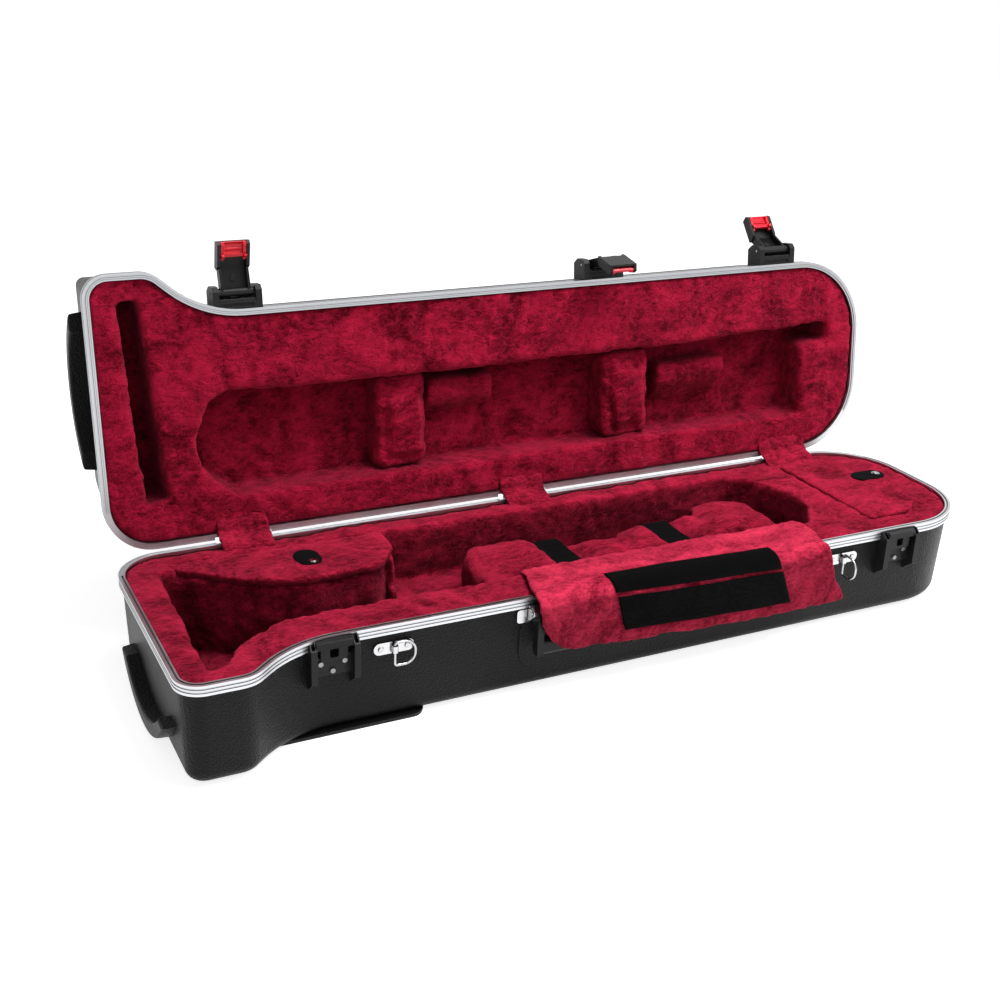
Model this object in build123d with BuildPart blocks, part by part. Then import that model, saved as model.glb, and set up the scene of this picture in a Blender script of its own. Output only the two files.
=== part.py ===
from build123d import *
import math
import os

os.makedirs("parts", exist_ok=True)

# All sizes are millimetres. X runs along the case with the bell end at the left, Y runs from the
# latches at the front to the hinges at the back, and Z is up from the floor.

# Inner edge of the rim, seen from above
left_x = -460.0
right_x = 460.0
back_y = 132.0
bell_front_y = -132.5
front_y = -89.5
flare_start_x = -403.0
flare_end_x = -354.0
back_left_radius = 43.5
back_right_radius = 77.0
front_right_radius = 84.0
flare_end_radius = 115.0
flare_start_radius = 23.0
front_left_radius = 18.0

# Heights and walls
rim_height = 106.0
top = rim_height
rim_gap = 0.2
foot_height = 3.0
lid_depth = 144.0
wall = 2.2
base_draft = 2.2
lid_draft = 6.5
floor_radius = 12.0
crown_radius = 20.0
lid_straight = 8.8

# Rim profile, as distances out from its inner edge
rim_width = 6.4
rim_face = 10.0
web = 2.0
lip = 0.9
fit_gap = 0.3
shell_inner = lip + fit_gap
shell_outer = shell_inner + wall
outer_leg = shell_outer + fit_gap
groove_depth = 0.6
groove_width = 1.5

# Lid hinge
hinge_y = 140.0
open_angle = 96.8
hinge_centres = (-328.0, -4.5, 357.0)
hinge_widths = (54.0, 53.0, 68.0)
knuckle_radius = 3.0
pin_radius = 1.2
run_gap = 0.06

# Lining
lining_inset = 0.4
lining_drop = 4.0
lining_base_top = rim_height - lining_drop

# Latches
latch_centres = (-316.5, 102.0, 340.0)
latch_angles = (101.0, 12.0, 150.0)
latch_names = ("left", "centre", "right")
pivot_y = -112.0
pivot_z = top + 9

cos_open = math.cos(math.radians(open_angle))
sin_open = math.sin(math.radians(open_angle))
lid_up = Axis((0, 0, 0), (0, sin_open, cos_open))


def opened(y, z):
    """Where a point of the closed lid lies once the lid stands open."""
    back = y - hinge_y
    up = z - rim_height
    return hinge_y + back * cos_open + up * sin_open, rim_height - back * sin_open + up * cos_open


def lid_plane(z):
    """Level plane of the closed lid, carried along to the open lid."""
    y, height = opened(0, z)
    return Plane(origin=(0, y, height), x_dir=(1, 0, 0), z_dir=(0, sin_open, cos_open))


def lid_side(x):
    """Upright plane across the closed lid, carried along to the open lid."""
    y, height = opened(0, 0)
    return Plane(origin=(x, y, height), x_dir=(0, cos_open, -sin_open), z_dir=(1, 0, 0))


def lid_front(y):
    """Plane along the front of the closed lid, facing the latches, carried along to the open lid."""
    out_y, height = opened(y, 0)
    return Plane(origin=(0, out_y, height), x_dir=(1, 0, 0), z_dir=(0, -cos_open, sin_open))


def lever_side(x, angle):
    """Upright plane across a latch lever, seen with the pivot at its origin."""
    y, height = opened(pivot_y, pivot_z)
    turn = math.radians(open_angle + angle)
    return Plane(origin=(x, y, height), x_dir=(0, math.cos(turn), -math.sin(turn)), z_dir=(1, 0, 0))


def lever_front(x, angle, out):
    """Plane facing out of a latch lever, a given way out from its pivot."""
    y, height = opened(pivot_y, pivot_z)
    turn = math.radians(open_angle + angle)
    face = (0, -math.cos(turn), math.sin(turn))
    return Plane(
        origin=(x, y + out * face[1], height + out * face[2]), x_dir=(1, 0, 0), z_dir=face)


def rim_outline(grow):
    """Outline of the rim's inner edge, grown outwards."""
    corners = (
        (left_x, back_y, back_left_radius),
        (right_x, back_y, back_right_radius),
        (right_x, front_y, front_right_radius),
        (flare_end_x, front_y, flare_end_radius),
        (flare_start_x, bell_front_y, flare_start_radius),
        (left_x, bell_front_y, front_left_radius),
    )
    with BuildSketch(Plane.XY, mode=Mode.PRIVATE) as rim:
        with BuildLine():
            Polyline([(x, y) for x, y, radius in corners], close=True)
        make_face()
        for x, y, radius in corners:
            fillet(rim.vertices().sort_by_distance((x, y, 0))[0], radius)
        if grow:
            offset(amount=grow)
    return rim.sketch


def save(piece, name):
    """Labels a finished piece and writes its file."""
    piece.label = name
    export_step(piece, "parts/" + name + ".step")


# Base shell: drafted tray with rounded floor edges, feet, end bumper and a shallow handle pad

with BuildPart() as base_envelope:
    with BuildSketch(Plane.XY.offset(rim_height - web)):
        add(rim_outline(shell_outer + 0.15))
    extrude(amount=-(rim_height - web - foot_height), taper=base_draft)

with BuildPart() as base_inside:
    with BuildSketch(Plane.XY.offset(rim_height - web - 0.2)):
        add(rim_outline(shell_inner))
    extrude(amount=-(rim_height - web - 0.2 - foot_height - wall), taper=base_draft)
    fillet(base_inside.faces().sort_by(Axis.Z)[0].edges(), floor_radius - wall)

bumper_centre_y = -15.0
bumper_half = 85.0
bumper_rise = 45.0
bumper_band = 19.0
bumper_radius = (bumper_half ** 2 + bumper_rise ** 2) / (2 * bumper_rise)
bumper_face_x = -473.5


def bumper_band_face(centre_z, facing):
    """Curved band of an end bumper, in the plane across the case."""
    with BuildSketch(Plane.XY, mode=Mode.PRIVATE) as band:
        with Locations((bumper_centre_y, centre_z)):
            Circle(bumper_radius)
            Circle(bumper_radius - bumper_band, mode=Mode.SUBTRACT)
        with Locations((bumper_centre_y, centre_z + facing * (bumper_radius - bumper_rise / 2))):
            Rectangle(2 * bumper_radius, bumper_rise, mode=Mode.INTERSECT)
    return band.sketch


with BuildPart() as handle_pad:
    with BuildSketch(Plane.XY.offset(rim_height - web)):
        add(rim_outline(shell_outer + 0.9))
    extrude(amount=-(rim_height - web - foot_height), taper=base_draft)
    with BuildSketch(Plane.XZ.offset(70)):
        with Locations((-33, 58)):
            RectangleRounded(182, 76, 30)
    extrude(amount=40, mode=Mode.INTERSECT)

with BuildPart() as base_shell:
    with BuildSketch(Plane.XY.offset(rim_height - web - 0.2)):
        add(rim_outline(shell_outer))
    extrude(amount=-(rim_height - web - 0.2 - foot_height), taper=base_draft)
    fillet(base_shell.faces().sort_by(Axis.Z)[0].edges(), floor_radius)
    with BuildSketch(Plane.XY.offset(foot_height + 1)):
        with Locations((-308, 10)):
            RectangleRounded(176, 206, 14)
        with Locations((-67, 20)):
            RectangleRounded(154, 186, 14)
        with Locations((166.5, 20)):
            RectangleRounded(163, 186, 14)
    extrude(amount=-(foot_height + 1), taper=12)
    with BuildSketch(Plane.YZ.offset(-440)):
        add(bumper_band_face(foot_height + bumper_radius, -1))
    extrude(amount=bumper_face_x + 440, taper=4)
    fillet(base_shell.faces().sort_by(Axis.X)[0].edges(), 2.5)
    add(handle_pad.part)
    add(base_inside.part, mode=Mode.SUBTRACT)
save(base_shell.part, "base_shell")

# Rim profiles: an inner lip, a web over the shell edge and a ribbed outer leg


def rim_ring(outer, inner):
    """Flat ring between two outlines of the rim."""
    with BuildSketch(Plane.XY, mode=Mode.PRIVATE) as ring:
        add(rim_outline(outer))
        add(rim_outline(inner), mode=Mode.SUBTRACT)
    return ring.sketch


def hinge_notches():
    """Room for the hinge knuckles along the back of a rim."""
    with BuildSketch(Plane.XY, mode=Mode.PRIVATE) as notches:
        for centre in hinge_centres:
            with Locations((centre, hinge_y + 1)):
                Rectangle(60, 2 * (hinge_y + 1 - back_y - shell_outer - 0.1))
    return notches.sketch


tongue_inner = 2.1
tongue_outer = 3.1
tongue_height = 0.8
tongue_gap = 0.35
tongue_back = 96.0

with BuildPart() as base_rim:
    with BuildSketch(Plane.XY.offset(rim_height - rim_face)):
        add(rim_ring(rim_width, 0))
    extrude(amount=rim_face - rim_gap / 2)
    with BuildSketch(Plane.XY.offset(rim_height - rim_face)):
        add(rim_ring(outer_leg, lip))
    extrude(amount=rim_face - web, mode=Mode.SUBTRACT)
    for level in (2.6, 6.0):
        with BuildSketch(Plane.XY.offset(rim_height - level - groove_width)):
            add(rim_ring(rim_width + 2, rim_width - groove_depth))
        extrude(amount=groove_width, mode=Mode.SUBTRACT)
    with BuildSketch(Plane.XY.offset(rim_height - rim_gap / 2)):
        add(rim_ring(tongue_outer + tongue_gap, tongue_inner - tongue_gap))
        with Locations((0, tongue_back - 200)):
            Rectangle(1000, 400, mode=Mode.INTERSECT)
    extrude(amount=-(tongue_height + tongue_gap), mode=Mode.SUBTRACT)
    with BuildSketch(Plane.XY.offset(rim_height - rim_face)):
        add(hinge_notches())
    extrude(amount=rim_face, mode=Mode.SUBTRACT)
save(base_rim.part, "base_rim")

with BuildPart() as lid_rim:
    with BuildSketch(lid_plane(rim_height + rim_gap / 2)):
        add(rim_ring(rim_width, 0))
    extrude(amount=rim_face - rim_gap / 2)
    with BuildSketch(lid_plane(rim_height + web)):
        add(rim_ring(outer_leg, lip))
    extrude(amount=rim_face - web, mode=Mode.SUBTRACT)
    for level in (2.6, 6.0):
        with BuildSketch(lid_plane(rim_height + level)):
            add(rim_ring(rim_width + 2, rim_width - groove_depth))
        extrude(amount=groove_width, mode=Mode.SUBTRACT)
    with BuildSketch(lid_plane(rim_height + rim_gap / 2 + 0.2)):
        add(rim_ring(tongue_outer, tongue_inner))
        with Locations((0, tongue_back - 202)):
            Rectangle(1000, 400, mode=Mode.INTERSECT)
    extrude(amount=-(tongue_height + 0.2))
    with BuildSketch(lid_plane(rim_height)):
        add(hinge_notches())
    extrude(amount=rim_face, mode=Mode.SUBTRACT)
save(lid_rim.part, "lid_rim")

# Lid shell: the same outline, drafted in to a rounded crown

draft_start = rim_height + web + 0.2 + lid_straight

with BuildPart() as lid_envelope:
    with BuildSketch(lid_plane(rim_height + web)):
        add(rim_outline(shell_outer + 0.15))
    extrude(amount=draft_start - rim_height - web)
    with BuildSketch(lid_plane(draft_start)):
        add(rim_outline(shell_outer + 0.15))
    extrude(amount=rim_height + lid_depth - draft_start, taper=lid_draft)

with BuildPart() as lid_inside:
    with BuildSketch(lid_plane(rim_height + web + 0.2)):
        add(rim_outline(shell_inner))
    extrude(amount=lid_straight)
    with BuildSketch(lid_plane(draft_start)):
        add(rim_outline(shell_inner))
    extrude(amount=rim_height + lid_depth - draft_start - wall, taper=lid_draft)
    fillet(lid_inside.faces().sort_by(lid_up)[-1].edges(), crown_radius - wall)

with BuildPart() as lid_shell:
    with BuildSketch(lid_plane(rim_height + web + 0.2)):
        add(rim_outline(shell_outer))
    extrude(amount=lid_straight)
    with BuildSketch(lid_plane(draft_start)):
        add(rim_outline(shell_outer))
    extrude(amount=rim_height + lid_depth - draft_start, taper=lid_draft)
    fillet(lid_shell.faces().sort_by(lid_up)[-1].edges(), crown_radius)
    with BuildSketch(lid_side(-430)):
        add(bumper_band_face(rim_height + 8, 1))
    extrude(amount=bumper_face_x + 433, taper=4)
    fillet(lid_shell.faces().sort_by(Axis.X)[0].edges(), 2.5)
    add(lid_inside.part, mode=Mode.SUBTRACT)
save(lid_shell.part, "lid_shell")

# Base lining: a moulded body under plush, with one long well and two covered compartments

well_top = lining_base_top
bell_floor = 14.0
slide_floor = 42.0
box_front = ((-196, 76, 16), (-222, 41, 22), (-300, 35, 50), (-350, 57, 50))


def bell_well():
    """Mouth of the deep well for the bell."""
    corners = (
        (-429, 97, 8), (-435, -109, 6), (-418, -109, 8), (-396, -74, 20), (-346, -44, 40))
    with BuildSketch(Plane.XY, mode=Mode.PRIVATE) as mouth:
        with BuildLine():
            Polyline(
                [(x, y) for x, y, radius in box_front] + [(-408, 97)] + [(x, y) for x, y, radius in corners]
                + [(-196, -41)], close=True)
        make_face()
        for x, y, radius in box_front[1:] + corners:
            fillet(mouth.vertices().sort_by_distance((x, y, 0))[0], radius)
    return mouth.sketch


def slide_well():
    """Mouth of the long middle well with its rounded right end."""
    corners = ((-192, 109, 8), (272, 109, 56), (303, 20, 50), (264, -41, 12))
    with BuildSketch(Plane.XY, mode=Mode.PRIVATE) as mouth:
        with BuildLine():
            Polyline([(-230, -41), (-192, 70)] + [(x, y) for x, y, radius in corners], close=True)
        make_face()
        for x, y, radius in corners:
            fillet(mouth.vertices().sort_by_distance((x, y, 0))[0], radius)
    return mouth.sketch


left_lid_corners = (
    (-187, 74, 16), (-216, 35, 26), (-300, 31, 60), (-352, 52, 60))


def left_lid_outline():
    """Plan of the curved compartment lid by the bell well."""
    with BuildSketch(Plane.XY, mode=Mode.PRIVATE) as plan:
        with BuildLine():
            Polyline(
                [(-187, 112)] + [(x, y) for x, y, radius in left_lid_corners] + [(-410, 99), (-416, 112)],
                close=True)
        make_face()
        for x, y, radius in left_lid_corners:
            fillet(plan.vertices().sort_by_distance((x, y, 0))[0], radius)
    return plan.sketch


def right_lid_outline():
    """Plan of the compartment lid at the narrow end."""
    with BuildSketch(Plane.XY, mode=Mode.PRIVATE) as plan:
        with BuildLine():
            Polyline((332, 108), (428, 108), (436, 84), (414, -38), (392, -58), (332, -60), close=True)
        make_face()
        fillet(plan.vertices().sort_by_distance((428, 108, 0))[0], 14)
        fillet(plan.vertices().sort_by_distance((414, -38, 0))[0], 10)
        fillet(plan.vertices().sort_by_distance((392, -58, 0))[0], 14)
    return plan.sketch


lid_thick = 8.0
lid_seat_gap = 0.5

with BuildPart() as base_lining:
    with BuildSketch(Plane.XY.offset(lining_base_top)):
        add(rim_outline(-lining_inset))
    extrude(amount=-(lining_base_top - foot_height - wall - 0.4), taper=base_draft)
    fillet(base_lining.faces().sort_by(Axis.Z)[0].edges(), floor_radius - wall)
    with BuildSketch(Plane.XY.offset(well_top)):
        add(bell_well())
    extrude(amount=-(well_top - bell_floor), taper=3, mode=Mode.SUBTRACT)
    with BuildSketch(Plane.XY.offset(well_top)):
        add(slide_well())
    extrude(amount=-(well_top - slide_floor), taper=2, mode=Mode.SUBTRACT)
    with BuildSketch(Plane.XY.offset(well_top)):
        add(left_lid_outline())
        offset(amount=0.8)
        with Locations((-187, 150)):
            Rectangle(400, 76, mode=Mode.SUBTRACT)
    extrude(amount=-(lid_thick + lid_seat_gap), mode=Mode.SUBTRACT)
    with BuildSketch(Plane.XY.offset(well_top)):
        add(right_lid_outline())
        offset(amount=0.8)
    extrude(amount=-2, mode=Mode.SUBTRACT)
    with BuildSketch(Plane.XY.offset(well_top)):
        with BuildLine():
            Polyline((-205, 76), (-224, 60), (-263, 49), (-303, 53), (-336, 66), (-350, 104), (-205, 104),
                     close=True)
        make_face()
    extrude(amount=-(well_top - bell_floor), mode=Mode.SUBTRACT)
    with BuildSketch(Plane.XY.offset(well_top)):
        with BuildLine():
            Polyline((342, 98), (424, 98), (404, -46), (342, -50), close=True)
        make_face()
    extrude(amount=-(well_top - bell_floor), mode=Mode.SUBTRACT)
save(base_lining.part, "base_lining")

# Cradle pad: crowned cushion in the middle well with two strap channels and a raised right lobe

pad_top = lining_base_top - 9
pad_channel = 2.6
strap_centres = (-25.0, 112.0)
strap_width = 30.0
strap_thick = 1.6
strap_backs = (51.0, 48.0)
strap_names = ("left", "right")
pad_corners = (
    (-128, -36, 16), (-128, 58, 30), (-52, 60, 26), (-30, 30, 12), (40, 28, 12), (60, 44, 12),
    (170, 46, 12), (190, 72, 12), (241, 68, 20), (241, -36, 16))

with BuildPart() as cradle_pad:
    with BuildSketch(Plane.XY.offset(pad_top)) as pad_plan:
        with BuildLine():
            Polyline([(x, y) for x, y, radius in pad_corners], close=True)
        make_face()
        for x, y, radius in pad_corners:
            fillet(pad_plan.vertices().sort_by_distance((x, y, pad_top))[0], radius)
    extrude(amount=-(pad_top - slide_floor - 0.3))
    fillet(cradle_pad.faces().sort_by(Axis.Z)[-1].edges(), 9)
    fillet(cradle_pad.faces().sort_by(Axis.Z)[0].edges(), 5)
    with BuildSketch(Plane.XY.offset(pad_top - 8)):
        with Locations((199, 18)):
            RectangleRounded(74, 80, 24)
    extrude(amount=12)
    fillet(cradle_pad.faces().sort_by(Axis.Z)[-1].edges(), 3)
    with BuildSketch(Plane.XY.offset(pad_top + 1)):
        for centre in strap_centres:
            with Locations((centre, 20)):
                Rectangle(strap_width + 2, 140)
    extrude(amount=-(pad_channel + 1), mode=Mode.SUBTRACT)
save(cradle_pad.part, "cradle_pad")

for name, centre, back in zip(strap_names, strap_centres, strap_backs):
    low = pad_top - pad_channel + 0.3
    high = low + strap_thick
    with BuildPart() as strap:
        with BuildSketch(Plane.YZ.offset(centre - strap_width / 2)):
            with BuildLine():
                Polyline(
                    (-35.5, low), (-35.5, high), (back - 4, high), (back, high - 2.5),
                    (back + 3, pad_top - 33), (back + 3 - strap_thick, pad_top - 33),
                    (back - strap_thick, high - 3.4), (back - 4.6, low), close=True)
            make_face()
        extrude(amount=strap_width)
    save(strap.part, "pad_strap_" + name)

# Covered compartment lids with their pull tabs and snaps

right_lid_low = lining_base_top - 1.7
right_lid_thick = 6.0
left_lid_taper = 15.0

with BuildPart() as box_lid_left:
    with BuildSketch(Plane.XY.offset(lining_base_top)):
        add(left_lid_outline())
    extrude(amount=-lid_thick, taper=left_lid_taper)
    fillet(box_lid_left.faces().sort_by(Axis.Z)[-1].edges().filter_by(lambda e: e.center().Y < 111), 2)
save(box_lid_left.part, "box_lid_left")

with BuildPart() as box_lid_right:
    with BuildSketch(Plane.XY.offset(right_lid_low)):
        add(right_lid_outline())
    extrude(amount=right_lid_thick)
    fillet(box_lid_right.faces().sort_by(Axis.Z)[-1].edges(), 2)
save(box_lid_right.part, "box_lid_right")

tab_thick = 1.5
tab_places = (
    ("left", (-281, 76), (26, 36), (-279, 64), lining_base_top),
    ("right", (411, 41), (44, 25), (423, 41), right_lid_low + right_lid_thick),
)
for name, place, size, snap_place, seat in tab_places:
    with BuildPart() as tab:
        with BuildSketch(Plane.XY.offset(seat + 0.2)):
            with Locations(place):
                RectangleRounded(size[0], size[1], min(size) / 2 - 0.1)
        extrude(amount=tab_thick)
        fillet(tab.faces().sort_by(Axis.Z)[-1].edges(), 0.5)
    save(tab.part, "pull_tab_" + name)
    with BuildPart() as snap:
        with BuildSketch(Plane.XY.offset(seat + 0.2 + tab_thick + 0.1)):
            with Locations(snap_place):
                Circle(5)
        extrude(amount=0.6)
        with BuildSketch(Plane.XY.offset(seat + 0.2 + tab_thick + 0.1)):
            with Locations(snap_place):
                Circle(3.6)
        extrude(amount=1.6)
        fillet(snap.faces().sort_by(Axis.Z)[-1].edges(), 0.7)
    save(snap.part, "snap_" + name)

# Space taken by the shell and rim, kept clear by every fitting outside them

with BuildPart() as base_space:
    add(base_envelope.part)
    with BuildSketch(Plane.XY.offset(rim_height - rim_face - 0.2)):
        add(rim_outline(rim_width + 0.2))
    extrude(amount=rim_face + 1)

with BuildPart() as lid_space:
    add(lid_envelope.part)
    with BuildSketch(lid_plane(rim_height - 1)):
        add(rim_outline(rim_width + 0.2))
    extrude(amount=rim_face + 1.2)

# Latch keepers: two hollow fins, a shelf with a lip, a catch block with a square hole, a back plate

keeper_half = 23.6
fin_thick = 6.0
fin_front = -106.0
keeper_top = top - 1.8
keeper_plate_y = -95.2
block_front = -101.2
block_low = top - 21.8
block_high = top - 6.4
rivet_radius = 3.1
rivet_rise = 1.7
shank_radius = 1.6
keeper_rivets_at = ((-11.5, top - 27), (0.0, top - 35.5), (11.5, top - 27))

for name, centre in zip(latch_names, latch_centres):
    with BuildPart() as keeper:
        for start in (centre - keeper_half, centre + keeper_half - fin_thick):
            with BuildSketch(Plane.YZ.offset(start)):
                with BuildLine():
                    Polyline(
                        (-88, keeper_top), (-99, keeper_top), (fin_front, top - 8), (fin_front, top - 42),
                        (-93, top - 52), (-88, top - 52), close=True)
                make_face()
            extrude(amount=fin_thick)
        with BuildSketch(Plane.XY.offset(keeper_top + 1)):
            for start in (centre - keeper_half, centre + keeper_half - fin_thick):
                with Locations((start + fin_thick / 2, -100.8)):
                    Rectangle(fin_thick - 2.8, 7.4)
        extrude(amount=-34, mode=Mode.SUBTRACT)
        with BuildSketch(Plane.YZ.offset(centre - keeper_half + fin_thick)):
            with BuildLine():
                Polyline(
                    (-88, keeper_top), (-102.6, keeper_top), (-104, top - 3.4), (-104, top - 9),
                    (-102.2, top - 9), (-102.2, block_high), (-88, block_high), close=True)
            make_face()
        extrude(amount=2 * (keeper_half - fin_thick))
        with BuildSketch(Plane.XZ.offset(-block_front)):
            with Locations((centre, (block_low + block_high) / 2)):
                RectangleRounded(26, block_high - block_low + 1, 2.5)
                RectangleRounded(8.4, 10.4, 1.8, mode=Mode.SUBTRACT)
        extrude(amount=-12)
        with BuildSketch(Plane.XZ.offset(-keeper_plate_y)):
            with Locations((centre, top - 30)):
                Rectangle(2 * (keeper_half - fin_thick), 20)
        extrude(amount=-8)
        add(base_space.part, mode=Mode.SUBTRACT)
        with BuildSketch(Plane.XZ.offset(-keeper_plate_y)):
            for across, up in keeper_rivets_at:
                with Locations((centre + across, up)):
                    Circle(shank_radius + 0.1)
        extrude(amount=-8, mode=Mode.SUBTRACT)
    save(keeper.part, "keeper_" + name)

with BuildPart() as keeper_rivets:
    for centre in latch_centres:
        for across, up in keeper_rivets_at:
            with BuildSketch(Plane.XZ.offset(-keeper_plate_y + 0.05)):
                with Locations((centre + across, up)):
                    Circle(rivet_radius)
            extrude(amount=rivet_rise, taper=22)
            with BuildSketch(Plane.XZ.offset(-keeper_plate_y + 0.05)):
                with Locations((centre + across, up)):
                    Circle(shank_radius)
            extrude(amount=-1.5)
save(keeper_rivets.part, "keeper_rivets")

# D-rings on upright barrels, each between two riveted wings

ring_centres = (-256.0, 267.0)
ring_names = ("left", "right")
ring_turns = (0.0, 90.0)
ring_axis_y = -97.0
ring_wire = 1.3
ring_reach = 20.5
ring_low = top - 43
ring_high = top - 19.3
barrel_low = top - 29
barrel_high = top - 22.2
plate_front_y = -94.3
plate_mid_z = top - 24.8
plate_rivet_at = 13.2

for name, centre in zip(ring_names, ring_centres):
    with BuildPart() as ring_plate:
        with BuildSketch(Plane.XZ.offset(-plate_front_y)):
            with Locations((centre, plate_mid_z)):
                RectangleRounded(40, 12, 5.8)
        extrude(amount=-4)
        with BuildSketch(Plane.XY.offset(barrel_low)):
            with Locations((centre, ring_axis_y)):
                Circle(3.1)
            with Locations((centre, ring_axis_y + 2)):
                Rectangle(6.2, 4)
        extrude(amount=barrel_high - barrel_low)
        add(base_space.part, mode=Mode.SUBTRACT)
        with BuildSketch(Plane.XY.offset(barrel_low - 1)):
            with Locations((centre, ring_axis_y)):
                Circle(ring_wire + 0.12)
        extrude(amount=barrel_high - barrel_low + 2, mode=Mode.SUBTRACT)
        with BuildSketch(Plane.XZ.offset(-plate_front_y)):
            for side in (-1, 1):
                with Locations((centre + side * plate_rivet_at, plate_mid_z)):
                    Circle(shank_radius + 0.1)
        extrude(amount=-4, mode=Mode.SUBTRACT)
    save(ring_plate.part, "ring_plate_" + name)

for name, centre, turn in zip(ring_names, ring_centres, ring_turns):
    out = math.radians(turn)
    ring_plane = Plane(
        origin=(centre, ring_axis_y, 0), x_dir=(math.cos(out), -math.sin(out), 0),
        z_dir=(-math.sin(out), -math.cos(out), 0))
    with BuildPart() as d_ring:
        with BuildLine(ring_plane) as loop:
            Polyline(
                (0, ring_low), (ring_reach, ring_low), (ring_reach, ring_high), (0, ring_high), close=True)
            for across, up, radius in (
                    (0, ring_low, 2.6), (0, ring_high, 2.6), (ring_reach, ring_low, 11),
                    (ring_reach, ring_high, 11)):
                corner = ring_plane.from_local_coords((across, up, 0))
                fillet(loop.vertices().sort_by_distance(corner)[0], radius)
        with BuildSketch(Plane(origin=(centre, ring_axis_y, top - 31), z_dir=(0, 0, 1))):
            Circle(ring_wire)
        sweep(path=loop.wires()[0])
    save(d_ring.part, "d_ring_" + name)

with BuildPart() as ring_plate_rivets:
    for centre in ring_centres:
        for side in (-1, 1):
            with BuildSketch(Plane.XZ.offset(-plate_front_y + 0.05)):
                with Locations((centre + side * plate_rivet_at, plate_mid_z)):
                    Circle(2.7)
            extrude(amount=1.2, taper=22)
            with BuildSketch(Plane.XZ.offset(-plate_front_y + 0.05)):
                with Locations((centre + side * plate_rivet_at, plate_mid_z)):
                    Circle(shank_radius)
            extrude(amount=-1.6)
save(ring_plate_rivets.part, "ring_plate_rivets")

# Carry handle on two end clips

handle_left = -113.0
handle_right = 47.0
arm_thick = 7.0
handle_pivot_y = -103.0
handle_pivot_z = top - 12
handle_pin = 2.0
clip_thick = 4.0

with BuildPart() as clip_space:
    with BuildSketch(Plane.XY.offset(rim_height - web)):
        add(rim_outline(shell_outer + 1.05))
    extrude(amount=-(rim_height - web - foot_height), taper=base_draft)

with BuildPart() as carry_handle:
    for start in (handle_left, handle_right - arm_thick):
        with BuildSketch(Plane.YZ.offset(start)):
            with BuildLine():
                Polyline(
                    (-97.2, top - 13), (-98.5, top - 30), (-103, top - 44), (-103, top - 58),
                    (-110, top - 58), (-110, top - 16), (-108.5, top - 13), close=True)
            make_face()
            with Locations((handle_pivot_y, handle_pivot_z)):
                Circle(5.9)
        extrude(amount=arm_thick)
    with BuildSketch(Plane.YZ.offset(handle_left + 1)):
        with Locations((-104, top - 49.5)):
            RectangleRounded(12, 17, 4.5)
    extrude(amount=handle_right - handle_left - 2)
    with BuildSketch(Plane.YZ.offset(handle_left - 1)):
        with Locations((handle_pivot_y, handle_pivot_z)):
            Circle(handle_pin + 0.08)
    extrude(amount=handle_right - handle_left + 2, mode=Mode.SUBTRACT)
save(carry_handle.part, "carry_handle")

for name, start, inward in (("left", handle_left, 1), ("right", handle_right, -1)):
    near = start - inward * 0.6
    far = near - inward * clip_thick
    with BuildPart() as clip:
        with BuildSketch(Plane.YZ.offset(min(near, far))):
            with BuildLine():
                Polyline(
                    (-88, top - 7), (-103, top - 7), (-107.6, top - 10.5), (-107.6, top - 15),
                    (-100, top - 22), (-88, top - 24), close=True)
            make_face()
        extrude(amount=clip_thick)
        with BuildSketch(Plane.XZ.offset(95.0)):
            with Locations(((near + far) / 2 - inward * 5, top - 19)):
                RectangleRounded(16, 14, 3)
        extrude(amount=-6)
        add(base_space.part, mode=Mode.SUBTRACT)
        add(clip_space.part, mode=Mode.SUBTRACT)
        with BuildSketch(Plane.YZ.offset(min(near - inward * 0.5, near + inward * (arm_thick + 0.5)))):
            with Locations((handle_pivot_y, handle_pivot_z)):
                Circle(handle_pin)
        extrude(amount=arm_thick + 1)
        with BuildSketch(Plane.YZ.offset(min(far, far - inward * 1.4))):
            with Locations((handle_pivot_y, handle_pivot_z)):
                Circle(3.4)
        extrude(amount=1.4)
    save(clip.part, "handle_clip_" + name)

# Hinges: base leaf, lid leaf, pin and rivets for each of three

leaf_half = 23.0
leaf_mid = 9.0
leaf_thick = 1.6
leaf_low = top - 32
leaf_high = top + 30
leaf_face = back_y + shell_outer + 0.3
leaf_root = 5.0
base_rivets_up = (top - 26, top - 13)
lid_rivets_up = (top + 15, top + 25)


def back_plane(y):
    """Plane along the back of the base, facing away from it."""
    return Plane(origin=(0, y, 0), x_dir=(-1, 0, 0), z_dir=(0, 1, 0))


def lid_back(y):
    """Plane along the back of the closed lid, carried along to the open lid."""
    out_y, height = opened(y, 0)
    return Plane(origin=(0, out_y, height), x_dir=(-1, 0, 0), z_dir=(0, cos_open, -sin_open))


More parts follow.
